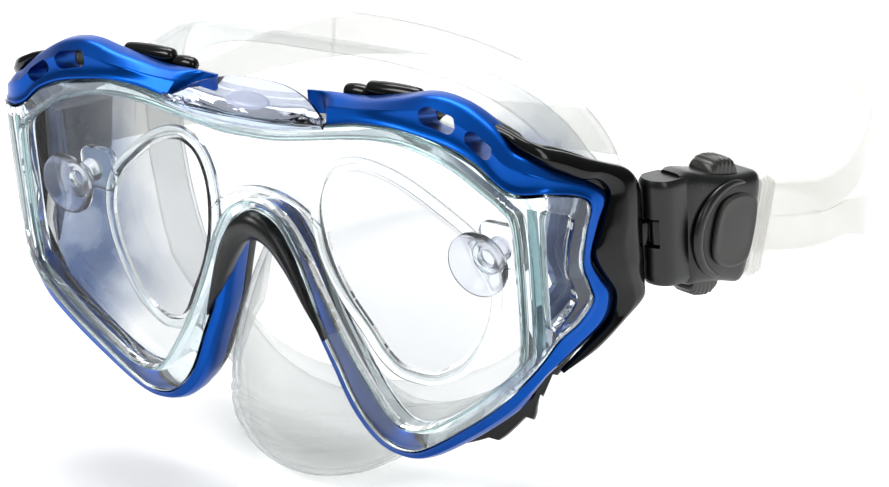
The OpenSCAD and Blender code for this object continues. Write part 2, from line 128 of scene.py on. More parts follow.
def new_material(name):
    made = bpy.data.materials.new(name)
    made.use_nodes = True
    made.node_tree.nodes.clear()
    return made, made.node_tree


bpy.context.scene.view_settings.view_transform = "Standard"
world = bpy.data.worlds.new("studio")
bpy.context.scene.world = world
world.use_nodes = True
sky = world.node_tree
sky.nodes.clear()
facing_up = add(sky, "ShaderNodeTexCoord")
split = add(sky, "ShaderNodeSeparateXYZ", {"Vector": facing_up.outputs["Generated"]})
shade = add(sky, "ShaderNodeValToRGB", {"Fac": split.outputs["Z"]})
shade.color_ramp.elements[0].position = 0.0
shade.color_ramp.elements[0].color = linear("#85878a")
shade.color_ramp.elements[1].position = 0.8
shade.color_ramp.elements[1].color = linear("#e8ebee")
glow = add(sky, "ShaderNodeBackground", {"Color": shade.outputs["Color"]}, Strength=0.55)
add(sky, "ShaderNodeOutputWorld", {"Surface": glow.outputs["Background"]})

paper, tree = new_material("seamless_white_paper")
grain = add(tree, "ShaderNodeTexNoise", {"Vector": add(tree, "ShaderNodeTexCoord").outputs["Object"]},
            Scale=300.0)
bump = add(tree, "ShaderNodeBump", {"Height": grain.outputs["Fac"]}, Strength=0.02)
matt = add(tree, "ShaderNodeBsdfPrincipled", {"Normal": bump.outputs["Normal"]},
           Base_Color=linear("#fdfdfd"), Roughness=0.9)
add(tree, "ShaderNodeOutputMaterial", {"Surface": matt.outputs["BSDF"]})

FLOOR = cad_box[0][2] - 0.0035
bm = bmesh.new()
bend = [(0.9 + 0.5 * math.sin(a), 0.5 - 0.5 * math.cos(a)) for a in np.linspace(0, 1.5, 12)]
profile = [(-1.4, 0)] + bend + [(1.42, 1.6)]
spine = [bm.verts.new((-1.6, y, z)) for y, z in profile]
edges = [bm.edges.new(pair) for pair in zip(spine, spine[1:])]
grown = bmesh.ops.extrude_edge_only(bm, edges=edges)["geom"]
bmesh.ops.translate(bm, verts=[v for v in grown if isinstance(v, bmesh.types.BMVert)], vec=(3.2, 0, 0))
bmesh.ops.rotate(bm, verts=bm.verts, matrix=Matrix.Rotation(camera_azimuth, 3, "Z"))
bmesh.ops.translate(bm, verts=bm.verts, vec=(0, 0, FLOOR))
bmesh.ops.recalc_face_normals(bm, faces=bm.faces)
sweep_mesh = bpy.data.meshes.new("paper_sweep")
bm.to_mesh(sweep_mesh)
bm.free()
sweep_mesh.materials.append(paper)
for face in sweep_mesh.polygons:
    face.use_smooth = True
link("paper_sweep", sweep_mesh)


def soft_light(name, place, aim, width, height, power, colour="#ffffff"):
    data = bpy.data.lights.new(name, "AREA")
    data.shape, data.size, data.size_y = "RECTANGLE", width, height
    data.energy, data.color = power, linear(colour)[:3]
    lamp = link(name, data)
    toward = Vector(aim) - Vector(place)
    lamp.matrix_world = Matrix.Translation(place) @ toward.to_track_quat("-Z", "Y").to_matrix().to_4x4()
    return lamp


soft_light("key_light", (-0.35, -0.75, 0.85), (0, 0.02, 0), 0.6, 0.4, 6.5)
soft_light("fill_light", (0.95, -0.35, 0.45), (0, 0.02, 0), 0.2, 0.6, 1.8)
soft_light("top_light", (0.0, 0.25, 1.0), (0, 0.03, 0), 0.8, 0.4, 5.5)
soft_light("paper_light", (-0.3, 0.55, 1.3), (-0.5, 1.1, -0.05), 1.2, 0.6, 15)
print("floor at", round(FLOOR, 4))

# %% [markdown]
# ## Curves of the front
# The whole front is one wrapped surface: flat over the nose and eyes, then bent round a radius at each
# temple. Outlines are drawn on the flat surface as u (round the bend) and z (height), and a third
# value n is the depth behind it. A closed spline through listed points gives each outline.

# %% Outlines and the wrapped surface
CORNER_X, BEND_R, SIDE_ANGLE = 78.0, 13.5, math.radians(62)
u_flat = CORNER_X - BEND_R * math.tan(SIDE_ANGLE / 2)
u_side = u_flat + BEND_R * SIDE_ANGLE
side_x = u_flat + BEND_R * math.sin(SIDE_ANGLE)
side_y = BEND_R - BEND_R * math.cos(SIDE_ANGLE)


def wrap(u, z, n):
    a, s = abs(u), (1 if u >= 0 else -1)
    if a <= u_flat:
        return Vector((u, n, z))
    if a < u_side:
        w = (a - u_flat) / BEND_R
        return Vector((s * (u_flat + (BEND_R - n) * math.sin(w)), BEND_R - (BEND_R - n) * math.cos(w), z))
    e = a - u_side
    c, t = math.cos(SIDE_ANGLE), math.sin(SIDE_ANGLE)
    return Vector((s * (side_x + e * c - n * t), side_y + e * t + n * c, z))


def smooth(points, k, closed=True):
    """A smooth curve through the points, with k steps to a span."""
    p = np.array(points, float)
    n = len(p)
    spans = n if closed else n - 1
    found = []
    for i in range(spans):
        a, b, c, d = (p[j % n] if closed else p[min(max(j, 0), n - 1)] for j in (i - 1, i, i + 1, i + 2))
        for t in np.arange(k) / k:
            found.append(0.5 * (2 * b + (c - a) * t + (2 * a - 5 * b + 4 * c - d) * t**2
                                + (3 * b - a - 3 * c + d) * t**3))
    if not closed:
        found.append(p[-1])
    return np.array(found)


def both_halves(half):
    half = [list(p) for p in half]
    return half + [[-p[0]] + p[1:] for p in half[-2:0:-1]]


def grow(loop, d):
    """The outline moved outwards by d; d may differ from point to point."""
    t = np.roll(loop, -1, 0)[:, :2] - np.roll(loop, 1, 0)[:, :2]
    t /= np.linalg.norm(t, axis=1)[:, None]
    return loop[:, :2] + np.stack([-t[:, 1], t[:, 0]], 1) * np.reshape(d, (-1, 1))


STEPS = 6
seam_half = [
    (0, 37.2), (10, 37.3), (22, 38.2), (32, 40), (41, 40.3), (49, 39.2), (57, 37.6), (64, 34.8), (69, 30.8),
    (73.5, 29), (81, 28.7), (89, 26.5), (92, 23.5), (90.7, 18), (89.2, 10), (90.8, 4), (91.3, 0),
    (87.2, -4.2),
    (82, -7), (78.2, -11.5), (74.3, -16), (64.7, -25.8), (54, -34.2), (43.5, -41.4), (37, -43), (31, -40.8),
    (25, -33.8), (20.3, -23.6), (16.2, -14.6), (13.4, -5), (10.4, 4), (6, 11), (0, 13.4),
]
bezel_half = [
    (0, 42.6), (10, 43.2), (20, 43.8), (30, 44.2), (41, 46.4), (50, 48.4), (58, 47.2), (65.5, 43.3),
    (71.5, 38.8), (77.5, 36.6), (85, 33), (94, 28.2), (98.3, 24), (96, 18.5), (93.2, 10.5), (95.4, 5),
    (98.5, 0),
    (97.2, -6.5), (89, -12), (80.5, -16.2), (76.5, -19.6), (67.2, -28.6), (56.3, -37.2), (44.6, -44.6),
    (36.6, -46.2), (28.5, -43.6), (21.8, -35.7), (17, -24.8), (13, -15.4), (10.2, -5.4), (7.8, 2.4),
    (4.5, 7.6),
    (0, 9.4),
]
chassis_half = [
    (0, 39.6), (10, 40), (20, 40.8), (30, 41.8), (41, 43.2), (50, 44.8), (60, 43), (69.5, 40.2), (76.5, 39.4),
    (84.7, 38), (90, 36), (97.2, 32), (104.8, 28.2), (106.8, 24), (106.8, 12), (106.6, 0), (106.9, -3.4),
    (98, -9.4), (89.6, -14.2), (83, -19), (76, -24.4), (67.5, -31.6), (57, -39.4), (44.6, -44.4),
    (36.6, -45.8),
    (28.8, -43.2), (22.4, -35.4), (17.4, -24.6), (13.4, -15.2), (10.6, -5.2), (8.2, 2.4), (4.7, 7.4),
    (0, 9.2),
]
window_half = [
    (0, 32.4), (8, 32.7), (20, 34.6), (32, 36.6), (42, 37), (50, 35.6), (58, 32.8), (65, 28.6), (70, 25.2),
    (72.4, 21.5), (73, 7), (72.7, -9.5), (70.8, -14.5), (65, -20.4), (58, -26.6), (50.5, -32.2),
    (44.5, -35.7),
    (39, -36.8), (34.6, -34.4), (30, -28.2), (25.2, -20.4), (20.8, -12), (17.2, -4), (13.4, 5), (8, 12.8),
    (0, 16),
]
side_window = smooth([
    (80.8, 24.6), (84, 23.9), (87, 22.6), (87.6, 20.6), (86.1, 15), (85.8, 8.5), (87.2, 3.6), (87, 1),
    (84.5, -1.8), (80.8, -4.4), (80.3, 4), (80.3, 18),
], STEPS)


def bezel_depth(i):
    if i < 11:
        return 9 if i < 8 else 9 - (i - 7) * 1.6
    if i < 21:
        return 3.4 if i < 18 else 3.4 + (i - 17) * 1.2
    return 8


def brow_slope(i):
    return 6.5 if i < 3 else 4.8 if i < 4 else 3 if i < 8 else 1.6


seam_loop = smooth(both_halves(seam_half), STEPS)
bezel_loop = smooth(both_halves(bezel_half), STEPS)
chassis_loop = smooth(both_halves(chassis_half), STEPS)
window_loop = smooth(both_halves(window_half), STEPS)
depth_loop = smooth(both_halves([(0, bezel_depth(i), brow_slope(i), i) for i in range(33)]), STEPS)
STATIONS = len(seam_loop)
print("stations round the front:", STATIONS)

# %% [markdown]
# ## Two helpers for skins and plates
# A moulded ring is grown like dough through a die: one ring of edges is extruded to the next until the
# skin closes. A plate with holes is filled flat, thickened and bevelled, then bent. After that every
# piece is cleaned, scaled to metres, given its finish and tied to the body it moves with.

# %% Helpers for skins and pieces
def loft(rings, closed=True, joined=False, bm=None):
    """Extrudes the first ring of points through all the others. joined closes the last onto the first."""
    bm = bm or bmesh.new()
    row = [bm.verts.new(p) for p in rings[0]]
    pairs = list(zip(row, row[1:] + row[:1])) if closed else list(zip(row, row[1:]))
    edges = [bm.edges.new(p) for p in pairs]
    for ring in list(rings[1:]) + ([rings[0]] if joined else []):
        made = bmesh.ops.extrude_edge_only(bm, edges=edges)["geom"]
        new = {v for v in made if isinstance(v, bmesh.types.BMVert)}
        edges = [e for e in made if isinstance(e, bmesh.types.BMEdge) and set(e.verts) <= new]
        row = [next(e.other_vert(v) for e in v.link_edges if e.other_vert(v) in new) for v in row]
        for v, p in zip(row, ring):
            v.co = p
    return bm


def close_ends(bm):
    bmesh.ops.remove_doubles(bm, verts=bm.verts, dist=0.002)
    bmesh.ops.holes_fill(bm, edges=[e for e in bm.edges if e.is_boundary], sides=0)
    return bm


def plate(outline, holes, front, thick, edge=0.5, lines=()):
    """A flat plate in u, depth and z, with holes and bevelled rims. Cuts along the u lines let it bend."""
    bm = bmesh.new()
    rims = []
    for loop in [outline, *holes]:
        ring = [bm.verts.new((p[0], front, p[1])) for p in loop]
        rims += [bm.edges.new(pair) for pair in zip(ring, ring[1:] + ring[:1])]
    bmesh.ops.triangle_fill(bm, use_beauty=True, use_dissolve=False, edges=rims)
    for u in lines:
        bmesh.ops.bisect_plane(bm, geom=list(bm.verts) + list(bm.edges) + list(bm.faces), dist=1e-5,
                               plane_co=(u, 0, 0), plane_no=(1, 0, 0))
    grown = bmesh.ops.extrude_face_region(bm, geom=list(bm.faces))["geom"]
    bmesh.ops.translate(bm, verts=[v for v in grown if isinstance(v, bmesh.types.BMVert)], vec=(0, thick, 0))
    bmesh.ops.recalc_face_normals(bm, faces=bm.faces)
    if edge:
        rim = [e for e in bm.edges if len(e.link_faces) == 2 and e.calc_face_angle(0) > 0.9]
        rim = [e for e in rim if abs(e.verts[0].co.y - e.verts[1].co.y) < 1e-4]
        bmesh.ops.bevel(bm, geom=rim, offset=edge, offset_type="OFFSET", segments=2, profile=0.5,
                        affect="EDGES", material=-1, clamp_overlap=True)
    return bm


def bend_to_front(bm):
    for v in bm.verts:
        v.co = wrap(v.co.x, v.co.z, v.co.y)
    return bm


def finish_mesh(name, bm, finish, sharp=40, mm=True, turn=None):
    """Cleans the bmesh, brings it to metres in the row frame and makes an object of it."""
    bmesh.ops.remove_doubles(bm, verts=bm.verts, dist=0.001)
    bmesh.ops.recalc_face_normals(bm, faces=bm.faces)
    if turn is not None:
        bmesh.ops.transform(bm, matrix=turn, verts=bm.verts)
        if turn.determinant() < 0:
            bmesh.ops.reverse_faces(bm, faces=bm.faces)
    if mm:
        bmesh.ops.translate(bm, verts=bm.verts, vec=(0, -LENS_DEPTH, 0))
        bmesh.ops.scale(bm, verts=bm.verts, vec=(0.001, 0.001, 0.001))
    mesh = bpy.data.meshes.new(name)
    bm.to_mesh(mesh)
    bm.free()
    mesh.materials.append(finish)
    for face in mesh.polygons:
        face.use_smooth = True
    mesh.set_sharp_from_angle(angle=math.radians(sharp))
    return link(name, mesh)


def piece(name, bm, finish, body, stands_for=(), sharp=40, turn=None):
    made = finish_mesh(name, bm, finish, sharp, True, turn)
    if body:
        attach(made, body)
    if stands_for:
        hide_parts(*stands_for)
    print(name, len(made.data.polygons), "faces")
    return made


def cut_away(made, cutter_bm):
    """Cuts the shape of a closed bmesh out of a piece."""
    cutter = finish_mesh("cutter", cutter_bm, made.data.materials[0])
    step = made.modifiers.new("cut", "BOOLEAN")
    step.object, step.operation, step.solver = cutter, "DIFFERENCE", "EXACT"
    whole = bpy.data.meshes.new_from_object(made.evaluated_get(bpy.context.evaluated_depsgraph_get()))
    made.modifiers.clear()
    old = made.data
    made.data = whole
    made.data.set_sharp_from_angle(angle=math.radians(35))
    bpy.data.meshes.remove(old)
    shape = cutter.data
    bpy.data.objects.remove(cutter)
    bpy.data.meshes.remove(shape)
    return made

# %% [markdown]
# ## Finishes
# The mask is polycarbonate, lacquered and plain ABS, tempered glass, liquid silicone rubber and a few
# steel pins. Clear resin and silicone differ mostly in how much the surface and the body of the
# material blur the light, so both are transmitting surfaces with a different roughness and a different
# share of milky scatter.

# %% Opaque finishes
def moulded(name, colour, roughness, grit_mm=0.25, grit=0.04, coat=0.0, clouds=0.04, ior=1.5, metallic=0.0):
    """Moulded plastic: a fine skin texture, slightly uneven gloss and a trace of colour drift."""
    made, tree = new_material(name)
    place = add(tree, "ShaderNodeTexCoord").outputs["Object"]
    skin = add(tree, "ShaderNodeTexNoise", {"Vector": place}, Scale=1000 / grit_mm, Detail=3.0)
    flow = add(tree, "ShaderNodeTexNoise", {"Vector": place}, Scale=55.0, Detail=4.0)
    tint = add(tree, "ShaderNodeValToRGB", {"Fac": flow.outputs["Fac"]})
    base = linear(colour)
    tint.color_ramp.elements[0].color = tuple(c * (1 - clouds * 4) for c in base[:3]) + (1,)
    tint.color_ramp.elements[1].color = tuple(min(1, c * (1 + clouds * 4)) for c in base[:3]) + (1,)
    gloss = add(tree, "ShaderNodeMapRange", {"Value": flow.outputs["Fac"]}, To_Min=roughness * 0.8,
                To_Max=roughness * 1.25)
    bump = add(tree, "ShaderNodeBump", {"Height": skin.outputs["Fac"]}, Strength=grit, Distance=0.0004)
    shell = add(tree, "ShaderNodeBsdfPrincipled",
                {"Base Color": tint.outputs["Color"], "Roughness": gloss.outputs["Result"],
                 "Normal": bump.outputs["Normal"]},
                IOR=ior, Metallic=metallic, Coat_Weight=coat, Coat_Roughness=0.03)
    add(tree, "ShaderNodeOutputMaterial", {"Surface": shell.outputs["BSDF"]})
    return made


blue_lacquer = moulded("metallic_blue_lacquer_on_ABS", "#004aa4", 0.3, grit_mm=0.2, grit=0.01, coat=0.08,
                       clouds=0.02, metallic=0.95)
black_abs = moulded("gloss_black_moulded_ABS", "#020202", 0.12, grit_mm=0.6, grit=0.01, ior=1.4)
charcoal_abs = moulded("satin_charcoal_moulded_ABS", "#0b0b0a", 0.3, grit_mm=0.2, grit=0.06)
pad_abs = moulded("matt_grey_moulded_ABS", "#2e2e2b", 0.42, grit_mm=0.25, grit=0.08)
button_abs = moulded("satin_grey_green_moulded_ABS", "#24261f", 0.34, grit_mm=0.25, grit=0.05)
arch_abs = moulded("satin_black_moulded_ABS", "#060606", 0.3, grit_mm=0.2, grit=0.05)
steel = moulded("ground_stainless_steel", "#b9bbbd", 0.25, grit_mm=0.3, grit=0.02, metallic=1.0, clouds=0.01)

# %% Clear finishes
def clear_resin(name, tint, roughness, ior, ripple=0.0, ripple_mm=6.0):
    """Clear resin or glass. A faint ripple bends what shows through it, as moulding flow does."""
    made, tree = new_material(name)
    place = add(tree, "ShaderNodeTexCoord").outputs["Object"]
    flow = add(tree, "ShaderNodeTexNoise", {"Vector": place}, Scale=1000 / ripple_mm, Detail=2.0)
    bump = add(tree, "ShaderNodeBump", {"Height": flow.outputs["Fac"]}, Strength=ripple, Distance=0.001)
    body = add(tree, "ShaderNodeBsdfPrincipled", {"Normal": bump.outputs["Normal"]},
               Base_Color=linear(tint), Roughness=roughness, IOR=ior, Transmission_Weight=1.0)
    add(tree, "ShaderNodeOutputMaterial", {"Surface": body.outputs["BSDF"]})
    return made


def silicone(name, tint, clear, roughness, milk=0.35, painted_bezel_light=0.0):
    """Liquid silicone rubber: a soft skin over a body that is part clear and part milky.
    The last argument sets how strongly a painted blue light, bounced off the bezel, is mixed into the
    see-through colour at the temples."""
    made, tree = new_material(name)
    place = add(tree, "ShaderNodeTexCoord").outputs["Object"]
    flow = add(tree, "ShaderNodeTexNoise", {"Vector": place}, Scale=70.0, Detail=3.0)
    fine = add(tree, "ShaderNodeTexNoise", {"Vector": place}, Scale=1200.0, Detail=2.0)
    height = add(tree, "ShaderNodeMix", {"A": flow.outputs["Fac"], "B": fine.outputs["Fac"]}, Factor=0.25)
    bump = add(tree, "ShaderNodeBump", {"Height": height.outputs["Result"]}, Strength=0.1, Distance=0.0006)
    rubber = add(tree, "ShaderNodeBsdfPrincipled", {"Normal": bump.outputs["Normal"]},
                 Base_Color=linear(tint), Roughness=roughness, IOR=1.41, Transmission_Weight=0.0,
                 Sheen_Weight=0.1)
    rim = add(tree, "ShaderNodeLayerWeight", {"Normal": bump.outputs["Normal"]}, Blend=0.35)
    thick = add(tree, "ShaderNodeValToRGB", {"Fac": rim.outputs["Facing"]})
    thick.color_ramp.elements[0].color = linear("#fdfdfd")
    thick.color_ramp.elements[1].color = linear("#c2c7c9")
    thick.color_ramp.elements.new(0.55).color = linear("#f7f8f7")
    # Painted blue light bounced off the bezel: the see-through colour is pulled towards slate blue near the
    # temples, towards the front, in patches.
    axes = add(tree, "ShaderNodeSeparateXYZ", {"Vector": place})
    wide = add(tree, "ShaderNodeMath", {0: axes.outputs["X"]}, operation="ABSOLUTE")
    temple = add(tree, "ShaderNodeMapRange", {"Value": wide.outputs["Value"]}, From_Min=0.052,
                 From_Max=0.066, To_Max=painted_bezel_light)
    front = add(tree, "ShaderNodeMapRange", {"Value": axes.outputs["Y"]}, From_Min=-0.004, From_Max=-0.024)
    patchy = add(tree, "ShaderNodeMapRange", {"Value": flow.outputs["Fac"]}, From_Min=0.35, From_Max=0.6,
                 To_Min=0.35)
    near = add(tree, "ShaderNodeMath", {0: temple.outputs["Result"], 1: front.outputs["Result"]},
               operation="MULTIPLY")
    painted_blue_share = add(tree, "ShaderNodeMath", {0: near.outputs["Value"], 1: patchy.outputs["Result"]},
                     operation="MULTIPLY")
    painted_blue_mix = add(tree, "ShaderNodeMix", {"Factor": painted_blue_share.outputs["Value"], 6: thick.outputs["Color"]},
               data_type="RGBA", B=linear("#7389ad"))
    see_through = add(tree, "ShaderNodeBsdfTransparent", {"Color": painted_blue_mix.outputs[2]})
    share = add(tree, "ShaderNodeMapRange", {"Value": rim.outputs["Facing"]}, To_Min=1 - clear,
                To_Max=min(1.0, 1 - clear + milk))
    both = add(tree, "ShaderNodeMixShader",
               {0: share.outputs["Result"], 1: see_through.outputs["BSDF"], 2: rubber.outputs["BSDF"]})
    add(tree, "ShaderNodeOutputMaterial", {"Surface": both.outputs["Shader"]})
    return made


lens_glass = clear_resin("tempered_float_glass", "#eaebec", 0.0, 1.2)
frame_resin = clear_resin("clear_moulded_polycarbonate", "#eef5f8", 0.02, 1.5, ripple=0.02)
crown_resin = clear_resin("lilac_clear_moulded_crown", "#dfe3f4", 0.03, 1.3, ripple=0.06, ripple_mm=4.0)
frosted_resin = clear_resin("etched_polycarbonate", "#eceef6", 0.5, 1.2)
edge_glass = clear_resin("green_edge_of_float_glass", "#c3d6d3", 0.08, 1.3, ripple=0.05, ripple_mm=2.0)
post_glass = clear_resin("teal_shade_of_the_corner_post", "#8aa6a6", 0.12, 1.1, ripple=0.1, ripple_mm=3.0)
slate_liner = moulded("slate_blue_moulded_liner", "#5b7197", 0.4, grit_mm=0.3, grit=0.03)
insert_resin = clear_resin("clear_moulded_acrylic", "#f5fafb", 0.03, 1.3, ripple=0.02)
cup_silicone = clear_resin("soft_clear_silicone_cup", "#eceef6", 0.1, 1.35, ripple=0.08)
# The skirt carries the painted blue light bounced off the bezel at its temples.
skirt_silicone = silicone("clear_liquid_silicone_rubber", "#e6e8e7", 0.92, 0.22, 0.42, painted_bezel_light=0.9)
strap_silicone = silicone("milky_silicone_strap", "#f1efea", 0.55, 0.35, 0.4)

for name, finish in (("front_lens", lens_glass), ("side_lens_left", lens_glass),
                     ("side_lens_right", lens_glass),
                     ("insert_lens_left", lens_glass), ("insert_lens_right", lens_glass)):
    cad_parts[name].data.materials.clear()
    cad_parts[name].data.materials.append(finish)
for side in ("left", "right"):
    for name, finish in (("hinge_pin_", steel), ("roller_pin_", steel), ("roller_", charcoal_abs),
                         ("lock_pawl_", charcoal_abs)):
        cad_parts[name + side].data.materials.clear()
        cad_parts[name + side].data.materials.append(finish)

# %% [markdown]
# ## Bezel
# The blue bezel is one lacquered ring that runs from the brow round both side windows to the nose. Its
# section changes all the way round, so a section is worked out at each station and the ring is lofted.
# A crisp ridge splits the brow into a sloping face and a rounded top.

# %% Bezel
def bezel_section(k):
    a, b = grow(seam_loop, 0.3)[k], bezel_loop[k]
    d, s, i = depth_loop[k][1:4]
    middle = max(0.0, min(1.0, (21.5 - abs(b[0])) / 4)) if b[1] > 30 else 0.0
    ridge = max(0.0, 1 - abs(min(i, 64 - i) - 6) / 5.5)
    edge = []
    for t, flat, peaked in ((0, 1.4, 1.6), (0.02, 0.8, 1.0), (0.06, 0.5, 0.55), (0.11, 0.5, 0.5),
                            (0.18, 0.7, 0.95), (0.3, 0.85, 1.2),
                            (0.46, 1.0, 1.25), (0.58, 1.15, 1.15), (0.66, 1.25, 1.0), (0.7, 1.4, 0.95),
                            (0.73, 1.6, 1.25),
                            (0.82, 2.0, 2.2), (0.91, 2.6, 3.1), (0.97, 3.2, 3.7), (1.0, 4.2, 4.5)):
        up = flat * (1 - ridge) + peaked * ridge
        near = up + max(0.0, s - 1.7) * t ** 1.5 * 0.75
        near += middle * (8.0 - near)
        edge.append((t, max(0.3, near)))
    last = edge[-1][1]
    edge += [(1.0, max(last + 0.3, d - 0.7)), (0.97, max(last + 0.5, d)), (0.0, max(last + 0.5, d))]
    return [wrap(*(a + (b - a) * t), n) for t, n in edge]


rings = [bezel_section(k) for k in range(STATIONS)]
bezel = piece("bezel_ring", loft(rings, joined=True), blue_lacquer, "mask", ["bezel"], 24)

# %% Slots in the brow
def rounded_bar(length, width, depth, place, tilt, lean):
    """A bar with round ends, to cut a slot; tilt turns it in the face of the brow, lean tips it back."""
    bm = bmesh.new()
    bmesh.ops.create_circle(bm, cap_ends=True, radius=width / 2, segments=24)
    for v in bm.verts:
        v.co.x += (length - width) / 2 * (1 if v.co.x > 0.001 else -1)
    grown = bmesh.ops.extrude_face_region(bm, geom=list(bm.faces))["geom"]
    bmesh.ops.translate(bm, verts=[v for v in grown if isinstance(v, bmesh.types.BMVert)], vec=(0, 0, depth))
    bmesh.ops.translate(bm, verts=bm.verts, vec=(0, 0, -depth / 2))
    turn = Matrix.Translation(place) @ Matrix.Rotation(lean, 4, "X") @ Matrix.Rotation(tilt, 4, "Z")
    bmesh.ops.transform(bm, matrix=turn, verts=bm.verts)
    return bm


def brow_slot_cutters():
    for side in (1, -1):
        for length, width, place, tilt in ((9.8, 4.4, (53.6, 3, 43.6), -12),
                                           (7.8, 3.6, (64.3, 3, 39.2), -33)):
            yield rounded_bar(length, width, 26, (side * place[0], place[1], place[2]),
                              math.radians(side * tilt), math.radians(72))


def crown_gap():
    """The blue and black rings stop in an S at each end of the crown, so only clear resin stands between."""
    half = [(25, -8), (24.2, -1.8), (20.5, 0.2), (17, 2.2), (14.6, 5), (13.4, 8.5), (13, 24)]
    bm = bmesh.new()
    ring = [bm.verts.new((x, y, 35.6)) for x,
            y in smooth(half + [(-x, y) for x, y in half[::-1]], 6, closed=False)]
    bm.faces.new(ring)
    grown = bmesh.ops.extrude_face_region(bm, geom=list(bm.faces))["geom"]
    bmesh.ops.translate(bm, verts=[v for v in grown if isinstance(v, bmesh.types.BMVert)], vec=(0, 0, 20))
    return bm


for cutter in brow_slot_cutters():
    cut_away(bezel, cutter)
cut_away(bezel, crown_gap())
print("bezel after its slots:", len(bezel.data.polygons), "faces")

# %% [markdown]
# ## Clear frame
# Inside the bezel a clear polycarbonate frame holds the glass. It is drawn flat with its three windows
# as holes, cut along lines so that it can bend, and wrapped round the temples with the rest.

# %% Clear frame
inside_front = grow(window_loop, 0.12)
side_holes = [[(s * p[0], p[1]) for p in side_window] for s in (1, -1)]
lines = [s * (u_flat + (u_side - u_flat) * t) for s in (1, -1) for t in np.linspace(-0.05, 1.05, 12)]
bm = plate(grow(seam_loop, -0.05), [inside_front, *side_holes], 0.0, 3.4, 0.5, lines)
piece("clear_frame_front", bend_to_front(bm), frame_resin, "mask",
                    ["clear_frame"], 30)

# A deeper wall stands behind the flat part of the frame, round the front window.
a, b = grow(window_loop, 0.5), grow(window_loop, 2.0)
rings = [[(a[k][0], 3.6, a[k][1]), (b[k][0], 3.6, b[k][1]), (b[k][0], 7.6, b[k][1]), (a[k][0], 7.6, a[k][1])]
         for k in range(len(a))]
piece("clear_frame_wall", loft(rings, joined=True), frame_resin, "mask", [], 30)

# %% Green edge of the glass
a, b = grow(window_loop, 0.2), grow(window_loop, 0.75)
rings = [[(a[k][0], 0.5, a[k][1]), (b[k][0], 0.5, b[k][1]), (b[k][0], 3.0, b[k][1]), (a[k][0], 3.0, a[k][1])]
         for k in range(len(a))]
piece("green_glass_edge", loft(rings, joined=True), edge_glass, "mask", [], 30)
post = plate([(76.3, 25.8), (78.7, 25.2), (79.0, 10), (78.8, -8.5), (76.6, -12), (76.2, 6)], [], 0.9, 1.4,
             0.3)
for side, word in ((1, "left"), (-1, "right")):
    corner = bend_to_front(post.copy())
    piece(f"corner_post_{word}", corner, post_glass, "mask", [], 30,
          Matrix.Scale(-1, 4, (1, 0, 0)) if side < 0 else None)
post.free()

# %% Crown over the brow
rings = []
for t in np.linspace(-0.985, 0.985, 41):
    x, thin = 23.5 * t, (1 - abs(t) ** 2.6)
    lo, root, hi = 35.2 + 2.6 * t * t, 37.6 + 1.2 * t * t, 38.8 + 6.2 * thin
    back_y = 0.6 + 6.2 * thin
    rings.append([(x, 0.1, lo), (x, -0.5 - 0.4 * thin, lo + 0.3), (x, -0.9 - 0.9 * thin, lo + 1.4),
                  (x, -0.9 - 0.9 * thin, lo + 2.6),
                  (x, -0.6 - 0.5 * thin, lo + 3.2), (x, back_y * 0.28 - 0.7, lo + (hi - lo) * 0.62),
                  (x, back_y * 0.72 - 0.4, hi - 0.9 * thin),
                  (x, back_y - 0.6, hi), (x, back_y + 0.2, hi - 0.2), (x, back_y + 0.4, hi - 0.9 * thin),
                  (x, 4.4 * thin + 0.3, root + 0.4), (x, 0.5, root)])
piece("clear_crown", close_ends(loft(rings)), crown_resin, "mask", [], 25)

# %% Frosted patch of the crown
bm = bmesh.new()
bmesh.ops.create_uvsphere(bm, u_segments=32, v_segments=16, radius=1)
bmesh.ops.scale(bm, verts=bm.verts, vec=(6.5, 0.5, 2.2))
bmesh.ops.rotate(bm, verts=bm.verts, matrix=Matrix.Rotation(math.radians(-38), 3, "X"))
bmesh.ops.translate(bm, verts=bm.verts, vec=(0.5, 1.6, 41.2))
piece("crown_frosted_patch", bm, frosted_resin, "mask")

# %% [markdown]
# ## Black chassis
# Behind the bezel a black frame clamps the skirt, shows as a thin line over the brow, swells into two
# soft bumps a side and grows an arm out to each buckle. Ring and arms are lofts; the bumps are spheres
# stretched along the brow.

# %% Chassis ring, bumps and arms
rings = []
for k in range(STATIONS):
    a, b = grow(seam_loop, 1.4)[k], chassis_loop[k]
    d, s, i = depth_loop[k][1:4]
    i = min(i, 64 - i)
    at_corner = max(0.0, min(1.0, i - 7, 12 - i)) + max(0.0, min(1.0, i - 17, 22 - i))
    front = d + 0.34 + 0.4 * at_corner
    rear = front + 3.5 - 1.5 * max(0.0, min(1.0, (abs(b[0]) - 62) / 8))
    tooth = (i % 1) / 0.8 if i % 1 < 0.8 else 0.5 + 0.5 * math.cos((i % 1 - 0.8) / 0.2 * math.pi)
    ribs = 1.7 * tooth if 18 <= i < 22 else 0.0
    b = a + (b - a) * (1 + ribs / max(1.0, np.linalg.norm(b - a)))
    rings.append([wrap(*(a + (b - a) * t), front + (rear - front) * n) for t, n in
                  ((0, 0), (0.8, 0), (0.93, 0.08), (0.99, 0.28), (1, 0.6), (0.97, 0.88), (0.9, 1), (0, 1))])
chassis = piece("chassis_ring", loft(rings, joined=True), black_abs, "mask", ["chassis"], 50)
for cutter in brow_slot_cutters():
    cut_away(chassis, cutter)
cut_away(chassis, crown_gap())

